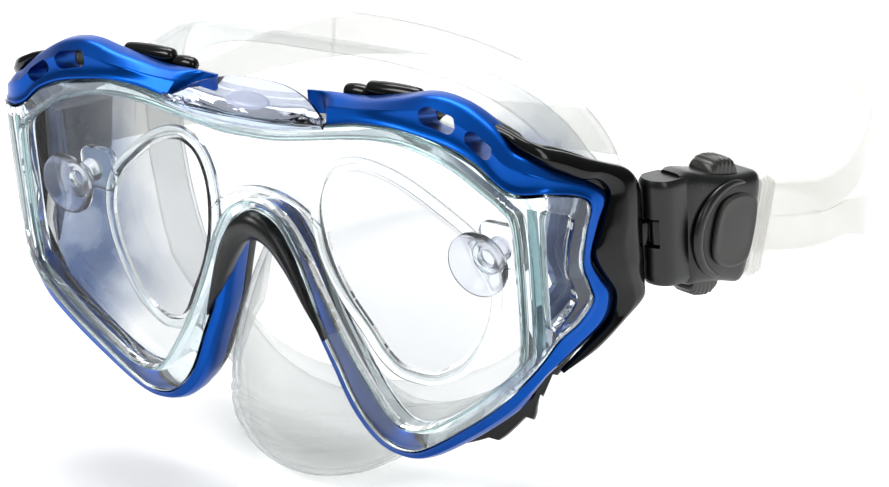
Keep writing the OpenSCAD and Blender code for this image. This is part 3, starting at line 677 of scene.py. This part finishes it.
for side, word in ((1, "left"), (-1, "right")):
    flip = Matrix.Scale(-1, 4, (1, 0, 0)) if side < 0 else None
    for number, (x, z, long, r) in enumerate(((25.5, 43.3, 1.7, 2.1), (36.0, 44.7, 5.6, 2.3))):
        bm = bmesh.new()
        bmesh.ops.create_uvsphere(bm, u_segments=32, v_segments=20, radius=r)
        for v in bm.verts:
            v.co.x += long * (1 if v.co.x > 0 else -1) * min(1, abs(v.co.x) / 1.2)
        bmesh.ops.translate(bm, verts=bm.verts, vec=(x, 11.6, z))
        piece(f"brow_bump_{number}_{word}", bm, black_abs, "mask", turn=flip)

    inner_edge = smooth([(62, 43.0), (68, 40.6), (74, 38.0), (80, 35.2), (86, 32.2), (91, 29.4),
                         (95.6, 28.4), (98.5, 25), (97.4, 21), (95.3, 15.5), (93.5, 10.5),
                         (95.6, 5), (98.7, 0), (98.6, -4.4), (96.6, -8), (90, -12.2), (83.5, -16.2)], 5,
                         closed=False)
    outer_edge = smooth([(62, 43.8), (69, 42.3), (76, 40.7), (82, 38.9), (88, 36.7), (93.4, 34.0),
                         (99, 31.4), (104, 28.8), (106.7, 24.5), (107.1, 18), (107.1, 11),
                         (107.1, 5), (107.1, 0), (106.7, -3.6), (102, -7.4), (93.5, -13.2), (83.7, -16.7)],
                         5, closed=False)
    rings = []
    for k, (p, q) in enumerate(zip(inner_edge, outer_edge)):
        t = k / (len(inner_edge) - 1)
        wide = min(1.0, np.linalg.norm(q - p) / 12)
        low = 2.6 + 4.6 * max(0.0, 1 - t / 0.34)
        section = ((0, 3.4), (0.05, 2.4), (0.12, 1.9), (0.22, 1.4), (0.34, 0.9), (0.42, 0.5), (0.48, 0.4),
                   (0.54, 0.55), (0.7, 1.1), (0.86, 1.7),
                   (0.95, 2.4), (1, 3.6), (1, 6.2), (0.95, 7.2), (0.1, 7.4), (0, 6.4))
        rings.append([wrap(*(p + (q - p) * c), low + (n - 3.4) * (0.25 + 0.75 * wide ** 1.5)) for c,
                      n in section])
    piece(f"chassis_arm_{word}", close_ends(loft(rings)), black_abs, "mask", [], 50, flip)

# %% Liner behind the arms
# A thin slate-blue liner closes the space between each side window and its arm. It gives the muted blue
# that shows through the clear frame.
for side, word in ((1, "left"), (-1, "right")):
    liner = plate([(80, 36), (92, 32.5), (103, 27), (105.5, 23), (105.5, -2), (97, -7), (86, -12.5),
                   (88, -5), (92, 0), (90.6, 10),
                   (92.5, 18), (93, 25), (88, 28.5), (81, 31)], [], 8.2, 0.7, 0.2, [82.2, 84.4])
    piece(f"arm_liner_{word}", bend_to_front(liner), slate_liner, "mask", [], 30,
          Matrix.Scale(-1, 4, (1, 0, 0)) if side < 0 else None)

# %% [markdown]
# ## Nose arch
# A satin black arch covers the nose joint, wide at its apex and tapering to a point on each side.

# %% Nose arch
upper = smooth([(-17.6, -17.4), (-16.3, -13.2), (-14.6, -8), (-12.4, -1.5), (-9.6, 5), (-5.6, 10.8),
                (0, 13.6), (5.6, 10.8), (9.6, 5),
                (12.4, -1.5), (14.6, -8), (16.3, -13.2), (17.6, -17.4)], 5, closed=False)
lower = smooth([(-17.5, -17.5), (-15.6, -14), (-12.9, -10), (-10.2, -5), (-7.2, 0), (-3.8, 4.2), (0, 5.6),
                (3.8, 4.2), (7.2, 0),
                (10.2, -5), (12.9, -10), (15.6, -14), (17.5, -17.5)], 5, closed=False)
rings = []
for p, q in zip(upper, lower):
    middle = math.sqrt(max(0, 1 - (p[0] / 17.7) ** 2))
    rings.append([(*(p + (q - p) * t)[:1], n, (p + (q - p) * t)[1]) for t, n in
                  ((0, 0.5), (0.02, -0.3 - 1.3 * middle), (0.1, -0.4 - 2.4 * middle),
                   (0.3, -0.5 - 3.0 * middle),
                   (0.6, -0.2 - 2.8 * middle), (0.85, 0.2 - 2.0 * middle), (0.98, 1.0 - 1.2 * middle),
                   (1, 2.4), (0.9, 3.2), (0.5, 3.2))])
piece("nose_arch", close_ends(loft(rings)), arch_abs, "mask", ["nose_bridge"], 50)

# %% [markdown]
# ## Skirt
# The skirt is the soft silicone wall between frame and face, with a pocket for the nose. Its surface
# follows a smooth curve from the frame to the face seal at each station, and a second, inner lip is
# lofted inside the first. Solidify gives the wall its thickness.

# %% Skirt
SEAL_HALF_W, SEAL_TOP, SEAL_BOTTOM = 69.0, 53.5, 55.0


def seal_point(t, side, inset):
    x = (SEAL_HALF_W - inset) * max(0.0, math.cos(t)) ** 0.8
    if t > 0:
        z = (SEAL_TOP - 2 - inset) * math.sin(t) ** 0.9
    else:
        z = -(SEAL_BOTTOM + 2 - inset) * (-math.sin(t)) ** 0.9
    y = (34.5 if t > 0 else 39 - 4.5 * (1 + t / (math.pi / 2))) + 0.0052 * x * x
    return np.array((side * x, y, 2 + z))


def seal_angle(i):
    j = i if i <= 32 else 64 - i
    return math.pi / 2 - math.pi * (j / 32) ** 0.85


def nose_share(i):
    j = i if i <= 32 else 64 - i
    return 0.0 if j < 24 else 0.5 - 0.5 * math.cos(math.radians((j - 24) * 22.5))


flange_loop = smooth(both_halves(seam_half), STEPS)


def skirt_point(k, t, inset=0.0):
    i = k / STEPS
    w = nose_share(i)
    p = grow(flange_loop, -2.2 * (1 - min(1, w * 2.2)) + 5.4 * min(1, w * 2.2))[k]
    a = np.array(wrap(*p, 8.3 + 4.7))
    l = seal_point(seal_angle(i), 1 if i <= 32 else -1, inset)
    c, d = a + (l - a) / 3, a + (l - a) * 2 / 3
    q = 33 * math.sin(math.radians(min(90,
                                       15 * max(0,
                                                32 - (i if i <= 32 else 64 - i))))) * (1 if i <= 32 else -1)
    nose_c, nose_d = np.array((a[0] * 0.4 + q * 0.75, -9, a[2] - 22)), np.array((q * 1.1, -11, -91))
    c, d, s = c * (1 - w) + nose_c * w, d * (1 - w) + nose_d * w, 1 - t
    return s**3 * a + 3 * s * s * t * c + 3 * s * t * t * d + t**3 * l


rows = np.concatenate([np.linspace(0, 0.35, 8), np.linspace(0.38, 0.58, 21), [0.62, 0.66, 0.7],
                       [0.76, 0.8, 0.83, 0.86, 0.9, 0.94, 0.97, 1.0]])
first = grow(flange_loop, 0)
rings = [[wrap(*first[k], 8.5) for k in range(STATIONS)], [wrap(*first[k], 12.0) for k in range(STATIONS)]]
for t in rows:
    ripple = 0.6 * math.sin(t * 2 * math.pi / 0.05) if 0.4 < t < 0.56 else 0
    rings.append([skirt_point(k, t) + np.array((0, ripple * nose_share(k / STEPS),
                                                0)) for k in range(STATIONS)])
bm = loft(rings)
skirt = piece("skirt_wall", bm, skirt_silicone, "mask", ["skirt"], 60)
wall = skirt.modifiers.new("wall", "SOLIDIFY")
wall.thickness, wall.offset = 0.0014, -1

inner_rows = np.linspace(0.72, 1, 8)
rings = [[skirt_point(k, t, 9.0 * (t - 0.72) / 0.28) - np.array((0, 4.0 * (t - 0.72) / 0.28, 0))
          for k in range(STATIONS)] for t in inner_rows]
inner_lip = piece("skirt_inner_lip", loft(rings), skirt_silicone, "mask", [], 60)
wall = inner_lip.modifiers.new("wall", "SOLIDIFY")
wall.thickness, wall.offset = 0.001, -1

# %% [markdown]
# ## Lens insert
# The pull-out insert is a pair of clear rims joined over the nose, held on the glass by a suction cup
# at each temple. A rim is a loft of a rounded section, and a cup is a profile spun round its axis.

# %% Insert rims, bridge and cups
INSERT_Y, INSERT_TILT, RIM_NOSE_X = 4.2, math.radians(13), 13.5
CUP_X, CUP_Y, CUP_Z = 61.0, 14.2, 9.3
rim_half = [
    (14, 17), (15.6, 22.4), (18.1, 25.9), (21.2, 28), (25.6, 29.1), (30.6, 28.3), (36.1, 26.1), (41.5, 22.8),
    (47.5, 18.1),
    (53.8, 12.7), (58, 7), (60, -0.3), (59.6, -7), (58.2, -12.7), (55.7, -18.3), (51.7, -24.2),
    (47.1, -27.8), (41.8, -30),
    (36.7, -29.7), (31.7, -27.9), (27.6, -23.6), (23.8, -16.8), (19.9, -10.2), (16.9, -3.4), (14.9, 3.3),
    (13.8, 10.9),
]
rim_loop = grow(smooth([(13.5 + (x - 13.5) * 1.0267, z) for x, z in rim_half], 5), -1.7)
section = [(math.cos(a), math.sin(a)) for a in np.linspace(0, 2 * math.pi, 16, endpoint=False)]


def on_rim_plane(x, y, z):
    c, s = math.cos(INSERT_TILT), math.sin(INSERT_TILT)
    return Vector((RIM_NOSE_X + (x - RIM_NOSE_X) * c - y * s, INSERT_Y + (x - RIM_NOSE_X) * s + y * c, z))


for side, word in ((1, "left"), (-1, "right")):
    flip = Matrix.Scale(-1, 4, (1, 0, 0)) if side < 0 else None
    outs = [grow(rim_loop, 1.35 * abs(c) ** 0.7 * (1 if c > 0 else -1)) for c, s in section]
    rings = [[on_rim_plane(outs[j][k][0], 1.1 + 1.1 * abs(s) ** 0.7 * (1 if s > 0 else -1), outs[j][k][1])
              for j, (c, s) in enumerate(section)] for k in range(len(rim_loop))]
    rim = piece(f"insert_rim_{word}", loft(rings, joined=True), insert_resin, "optical_insert",
                ["insert_frame"] if side > 0 else [], 60, flip)
    bm = bmesh.new()
    depth = CUP_Y - 3.8
    outline = [(0, 0.2), (3.0, 0.2), (3.2, 0.6), (3.2, 1.6), (2.6, 2.4), (2.5, depth - 4.6),
               (4.2, depth - 3.1), (6.4, depth - 1.7),
               (8.0, depth - 0.5), (8.0, depth), (7.4, depth), (5.2, depth - 1.0), (3.2, depth - 1.9),
               (0, depth - 2.2)]
    row = [bm.verts.new((CUP_X + r, CUP_Y - y, CUP_Z)) for r, y in outline]
    edges = [bm.edges.new(pair) for pair in zip(row, row[1:])]
    bmesh.ops.spin(bm, geom=row + edges, cent=(CUP_X, 0, CUP_Z), axis=(0, 1, 0), angle=2 * math.pi, steps=48,
                   use_merge=True)
    piece(f"suction_cup_{word}", bm, cup_silicone, "optical_insert",
          [f"suction_cup_{word}"], 40, flip)
    # The tab that carries the cup: a soft-cornered clear block.
    bm = bmesh.new()
    bmesh.ops.create_cube(bm, size=1)
    bmesh.ops.scale(bm, verts=bm.verts, vec=(10.5, 2.2, 11.5))
    bmesh.ops.bevel(bm, geom=[e for e in bm.edges if abs(e.verts[0].co.y - e.verts[1].co.y) > 1], offset=2.6,
                    segments=6, profile=0.5,
                    affect="EDGES", material=-1)
    bmesh.ops.bevel(bm, geom=[e for e in bm.edges if e.calc_face_angle(0) > 1], offset=0.4, segments=2,
                    profile=0.5,
                    affect="EDGES", material=-1)
    bmesh.ops.translate(bm, verts=bm.verts, vec=(CUP_X - 1, CUP_Y + 1.2, CUP_Z))
    piece(f"cup_tab_{word}", bm, insert_resin, "optical_insert", [], 40, flip)
rings = []
for a in np.linspace(math.radians(152), math.radians(28), 28):
    for_top, for_low = (17.6 * math.cos(a), 3.6 + 14.6 * math.sin(a)), (18.2 * math.cos(a),
                                                                        3.6 + 12.6 * math.sin(a))
    mid = ((for_top[0] + for_low[0]) / 2, (for_top[1] + for_low[1]) / 2)
    rings.append([(mid[0] + (for_top[0] - mid[0]) * c, INSERT_Y + 1.1 + 1.0 * s,
                   mid[1] + (for_top[1] - mid[1]) * c)
                  for c, s in section])
piece("insert_bridge", close_ends(loft(rings)), insert_resin, "optical_insert", [], 60)

# %% [markdown]
# ## Buckles
# Each buckle swings on a steel pin. A collar turns on the pin, the body carries a roller for the strap,
# and two ribbed buttons are pinched to let the strap run. They are drawn once in the buckle's own frame,
# with the pin at its origin and the strap running along +Y, and placed by one matrix a side.

# %% Buckle placement
SPLAY, RAKE = math.radians(14), math.radians(17)
HINGE = wrap(112.5, 12, 3.4)
BUCKLE_L, BUCKLE_H, BUCKLE_T, BODY_Y = 20.5, 28.0, 12.4, 6.6
ROLLER_Y = BODY_Y + 8.6
print("hinge in the lens frame:", [round(c, 2) for c in HINGE])


def buckle_turn(side, raked=True):
    turn = Matrix.Translation(HINGE) @ Matrix.Rotation(-SPLAY, 4, "Z")
    if raked:
        turn = turn @ Matrix.Rotation(-RAKE, 4, "X")
    return Matrix.Scale(-1, 4, (1, 0, 0)) @ turn if side < 0 else turn


def block(size, middle, round_by, segments=4, sharp=0.5):
    """A block with its edges rounded."""
    bm = bmesh.new()
    bmesh.ops.create_cube(bm, size=1)
    bmesh.ops.scale(bm, verts=bm.verts, vec=size)
    bmesh.ops.bevel(bm, geom=list(bm.edges), offset=round_by, segments=segments, profile=0.5, affect="EDGES",
                    material=-1)
    bmesh.ops.translate(bm, verts=bm.verts, vec=middle)
    return bm


def stack(sections, close=True):
    """Skin through level outlines given as (z, points)."""
    return close_ends(loft([[(x, y, z) for x, y in points] for z, points in sections]))


# %% Buckle pieces
def superellipse(half_x, half_y, power, count=40):
    out = []
    for a in np.linspace(0, 2 * math.pi, count, endpoint=False):
        c, s = math.cos(a), math.sin(a)
        out.append((half_x * abs(c) ** (2 / power) * (1 if c > 0 else -1),
                    half_y * abs(s) ** (2 / power) * (1 if s > 0 else -1)))
    return out


def collar_bm():
    """Collar round the pin: a tall barrel that is widest in the middle and reaches back to the body."""
    sections = []
    for z in np.linspace(-1, 1, 25):
        round_off = (1 - max(0, (abs(z) - 0.86) / 0.14) ** 2) ** 0.5 if abs(z) > 0.86 else 1
        r = 4.7 * (0.86 + 0.14 * round_off)
        rear = 4.3
        ring = [(r * math.cos(a), r * math.sin(a)) for a in np.linspace(math.pi, 2 * math.pi, 20)]
        ring += [(r, rear * 0.5), (r * 0.98, rear), (-r * 0.98, rear), (-r, rear * 0.5)]
        sections.append((z * 13.1, ring))
    bm = stack(sections)
    for v in bm.verts:
        v.co.z -= 0.15 * (v.co.y + 4.7)
    return bm


def body_bm():
    """Body: waisted in side view, full at the buttons, with a soft edge all round."""
    rings = []
    for t in np.linspace(0, 1, 22):
        end = min(t, 1 - t)
        soft = min(1, (end / 0.09)) ** 0.5 if end < 0.09 else 1
        half_h = (BUCKLE_H / 2 - 0.9 * math.sin(math.pi * t)) * (0.93 + 0.07 * soft)
        half_t = BUCKLE_T / 2 * (0.84 + 0.16 * soft)
        fore = max(0.0, 1 - t / 0.45) ** 1.5
        half_t -= 1.2 * fore
        ring = []
        for x, z in superellipse(half_t, half_h, 5.5, 64):
            front_y = 3.7 / math.cos(RAKE) - z * math.tan(RAKE)
            ring.append((0.2 + x, BODY_Y + BUCKLE_L * t + (front_y - BODY_Y) * fore, z))
        rings.append(ring)
    return close_ends(loft(rings))


def pad_bm():
    """D-shaped thumb pad: flat to the rear, domed a little, standing off the body."""
    outline = smooth([(-5.6, -6.5), (-6.9, 0), (-5.6, 6.5), (0, 8.9), (5.6, 8.0), (7.0, 5.2), (7.4, 0),
                      (7.0, -5.2),
                      (5.6, -8.0), (0, -8.9)], 5)
    rings = []
    for share, rise in ((1, 0), (1, 0.5), (0.97, 0.85), (0.92, 1.0), (0.86, 0.9), (0.6, 0.98), (0.3, 1.05),
                        (0.02, 1.06)):
        rings.append([(BUCKLE_T / 2 + 0.2 + rise, BODY_Y + BUCKLE_L - 8.6 + p[0] * share,
                       p[1] * share) for p in outline])
    return close_ends(loft(rings))


def ridge_bm():
    """Raised arc that sweeps round the front of the thumb pad."""
    rings = []
    for a in np.linspace(math.radians(82), math.radians(262), 36):
        taper = math.sin((a - math.radians(82)) / math.radians(180) * math.pi) ** 0.6 + 0.02
        centre = np.array((12.6 * math.cos(a), 11.4 * math.sin(a)))
        out = np.array((math.cos(a), math.sin(a)))
        ring = []
        for c, s in section:
            p = centre + out * c * 1.6 * taper
            ring.append((BUCKLE_T / 2 - 0.1 + max(-0.2, s) * 1.2 * taper, BODY_Y + BUCKLE_L - 8.0 + p[0],
                         p[1]))
        rings.append(ring)
    return close_ends(loft(rings))


def button_bm(e):
    """Pinch button with grip ribs along its outer face, rounded off to front and rear."""
    rings = []
    top = BUCKLE_H / 2 + 2.6
    low = BUCKLE_H / 2 - 1.9
    for t in np.linspace(-1, 1, 49):
        y = ROLLER_Y - 0.1 + 4.4 * t
        rib = 0.22 * math.cos(t * math.pi * 6) if abs(t) < 0.82 else 0
        z = top - 1.6 * abs(t) ** 3 + rib
        half = 3.6
        rings.append([(0.2 - half, y, low), (0.2 - half, y, z - 1.4), (0.2 - half * 0.9, y, z - 0.5),
                      (0.2 - half * 0.6, y, z - 0.05),
                      (0.2, y, z), (0.2 + half * 0.6, y, z - 0.05), (0.2 + half * 0.9, y, z - 0.5),
                      (0.2 + half, y, z - 1.4), (0.2 + half, y, low)])
    bm = close_ends(loft(rings))
    if e < 0:
        bmesh.ops.transform(bm, matrix=Matrix.Scale(-1, 4, (0, 0, 1)), verts=bm.verts)
        bmesh.ops.reverse_faces(bm, faces=bm.faces)
    return bm


for side, word in ((1, "left"), (-1, "right")):
    body, turn, flat_turn = f"buckle_{word}", buckle_turn(side), buckle_turn(side, False)
    collar = piece(f"buckle_collar_{word}", collar_bm(), charcoal_abs, body, [f"swivel_{word}"],
                   40, flat_turn)
    slot_cut = bmesh.new()
    bmesh.ops.create_cone(slot_cut, cap_ends=True, segments=64, radius1=4.35, radius2=4.35, depth=7.2)
    bmesh.ops.transform(slot_cut, matrix=flat_turn, verts=slot_cut.verts)
    cut_away(collar, slot_cut)
    slot_cut = block((15, 10, 7.2), (-4.5, -5, 0), 0.1)
    bmesh.ops.transform(slot_cut, matrix=flat_turn, verts=slot_cut.verts)
    cut_away(collar, slot_cut)
    # The knuckle on the arm's end fills the gap in the collar; it is tied to the mask, and the collar turns
    # round it about the pin.
    knuckle = bmesh.new()
    bmesh.ops.create_cone(knuckle, cap_ends=True, segments=64, radius1=4.15, radius2=4.15, depth=6.6)
    bmesh.ops.bevel(knuckle, geom=[e for e in knuckle.edges if e.calc_face_angle(0) > 1], offset=0.5,
                    segments=3, profile=0.5,
                    affect="EDGES", material=-1)
    piece(f"arm_knuckle_{word}", knuckle, black_abs, "mask", [], 40, flat_turn)
    neck = plate([(104, 9.2), (104, 14.8), (110.8, 14.7), (110.8, 9.3)], [], 2.0, 4.6, 0.5)
    piece(f"arm_neck_{word}", bend_to_front(neck), black_abs, "mask", [], 40,
          Matrix.Scale(-1, 4, (1, 0, 0)) if side < 0 else None)
    shell = piece(f"buckle_shell_{word}", body_bm(), charcoal_abs, body, [f"buckle_body_{word}"],
                  40, turn)
    cutters = [block((2 * 4.5 + 0.6, BUCKLE_L, 18.7), (0.2, BODY_Y + 0.8 + BUCKLE_L / 2, 0), 0.5)]
    for e in (1, -1):
        cutters.append(block((7.9, 9.5, 10), (0.2, ROLLER_Y - 0.1, e * (BUCKLE_H / 2 - 3.6 + 5)), 0.4))
    for cutter in cutters:
        bmesh.ops.transform(cutter, matrix=turn, verts=cutter.verts)
        cut_away(shell, cutter)
    piece(f"thumb_pad_{word}", pad_bm(), pad_abs, body, [f"buckle_pad_{word}"], 40, turn)
    piece(f"pad_ridge_{word}", ridge_bm(), charcoal_abs, body, [], 50, turn)
    for e, which in ((1, "upper"), (-1, "lower")):
        piece(f"pinch_button_{which}_{word}", button_bm(e), button_abs, f"button_{which}_{word}",
              [f"button_{which}_{word}"], 50, turn)

# %% [markdown]
# ## Strap
# The strap is one silicone band at each buckle. It loops round the roller, ends in a widened tab and
# splits in two behind the head. Two lofts share their middle edge where the band is single, and the
# shared walls are deleted, so that it reads as one piece until the split.

# %% Strap end at the buckle
STRAP_W, STRAP_T, BAND_W, BAND_GAP = 17.5, 2.0, 13.5, 14.0
WRAP_OUT = 4.5
TAIL_Y, CUT_Y = BODY_Y + BUCKLE_L + 1, 36.0


def strap_end_bm():
    line = [(-WRAP_OUT + 0.2 + 1, CUT_Y), (-WRAP_OUT + 0.2 + 1, 28), (-WRAP_OUT + 0.2 + 1, ROLLER_Y + 2)]
    line += [(0.2 + 3.5 * math.cos(a), ROLLER_Y + 3.5 * math.sin(a)) for a in np.linspace(math.pi,
                                                                                          2 * math.pi, 14)]
    line += [(0.2 + 3.5, y) for y in np.arange(ROLLER_Y + 2, TAIL_Y, 0.5)]
    rings = []
    for i, (x, y) in enumerate(line):
        p, q = line[max(i - 1, 0)], line[min(i + 1, len(line) - 1)]
        d = Vector((q[0] - p[0], q[1] - p[1], 0)).normalized()
        side_way = Vector((d.y, -d.x, 0))
        rib = 0.12 * math.cos(y * math.pi * 2 / 1.6)
        half = STRAP_W / 2
        rings.append([Vector((x, y, 0)) + side_way * a + Vector((0, 0, b)) for a, b in
                      ((-1, -half + 0.4), (-0.6, -half), (0.6, -half), (1 + rib, -half + 0.4),
                       (1 + rib, half - 0.4), (0.6, half),
                       (-0.6, half), (-1, half - 0.4))])
    return close_ends(loft(rings))


def strap_tab_bm():
    """Widened tab on the tail, with grip ribs."""
    rings = []
    for t in np.linspace(0, 1, 27):
        y = TAIL_Y - 0.2 + 5.2 * t
        half = (BUCKLE_H / 2 - 1.6) * (0.92 + 0.08 * math.sin(math.pi * min(1, t * 1.2)))
        thick = 1.5 + 0.3 * math.cos(t * math.pi * 8) * (1 if 0.1 < t < 0.9 else 0)
        rings.append([(3.9 + a, y, b) for a,
                      b in ((-1.5, -half + 0.8), (-0.8, -half), (0.8, -half), (thick, -half + 0.9),
                                                   (thick, half - 0.9), (0.8, half), (-0.8, half),
                                                   (-1.5, half - 0.8))])
    return close_ends(loft(rings))


for side, word in ((1, "left"), (-1, "right")):
    piece(f"strap_loop_{word}", strap_end_bm(), strap_silicone, f"buckle_{word}",
          [f"strap_end_{word}"], 40,
          buckle_turn(side))
    piece(f"strap_tab_{word}", strap_tab_bm(), strap_silicone, f"buckle_{word}", [], 40,
          buckle_turn(side))

# %% Strap behind the head
turn = buckle_turn(1)
mid_x = 0.2 - WRAP_OUT + STRAP_T / 2
route = [turn @ Vector((mid_x, CUT_Y - 0.02, 0)), turn @ Vector((mid_x + 0.2, CUT_Y + 8, 0))]
route += [Vector(p) for p in ((103, 92, -6), (102, 112, -10), (96, 137, -15), (83, 164, -21), (61, 188, -27),
                              (32, 201, -30),
                              (0, 205, -31))]
half_rows = []
for i, p in enumerate(route):
    t = i / (len(route) - 1)
    w = 0 if t < 0.3 else 1 if t > 0.65 else 0.5 - 0.5 * math.cos((t - 0.3) / 0.35 * math.pi)
    half_rows.append([*p, w])
line = smooth(half_rows + [[-r[0], *r[1:]] for r in half_rows[-2::-1]], 14, closed=False)
far_count = min(i for i, row in enumerate(line) if row[0] < 89 and row[1] > 130) + 1


def strap_bm(count):
    """The first count stations of the band, from the buckle round behind the head."""
    bm = bmesh.new()
    for e in (1, -1):
        rings = []
        for i, (x, y, z, w) in enumerate(line[:count]):
            p, q = line[max(i - 1, 0)], line[i + 1]
            d = Vector(q[:3] - p[:3]).normalized()
            w = min(1, max(0, w))
            way = Vector((0, 0.12, 1))
            rise = (way - d * d.dot(way)).normalized()
            face = rise.cross(d)
            low = (0 if w < 0.004 else 1) * e * (BAND_GAP / 2) * w
            high = e * (STRAP_W / 2 * (1 - w) + (BAND_GAP / 2 + BAND_W) * w)
            middle = Vector((x, y, z))
            rings.append([middle + rise * b + face * a for a, b in
                          ((-1, low), (1, low), (1, high - e * 0.5), (0.5, high), (-0.5, high),
                           (-1, high - e * 0.5))])
        loft(rings, bm=bm)
    bmesh.ops.remove_doubles(bm, verts=bm.verts, dist=0.01)
    seen, inside = {}, []
    for f in bm.faces:
        key = frozenset(v.index for v in f.verts)
        if key in seen:
            inside += [f, seen[key]]
        seen[key] = f
    bmesh.ops.delete(bm, geom=inside, context="FACES")
    return close_ends(bm)


for side, word in ((1, "left"), (-1, "right")):
    mirror = Matrix.Scale(-1, 4, (1, 0, 0)) if side < 0 else None
    band = piece(f"rear_strap_{word}", strap_bm(far_count if side < 0 else len(line) - far_count + 1),
                 strap_silicone, None, ["rear_strap"] if side > 0 else [], 40, mirror)
    start = (turn @ Vector((mid_x, CUT_Y, 0)) - Vector((0, LENS_DEPTH, 0))) / 1000
    end = (Vector((101, 119, -12)) - Vector((0, LENS_DEPTH, 0))) / 1000
    start.x, end.x = start.x * side, end.x * side
    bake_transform(band)
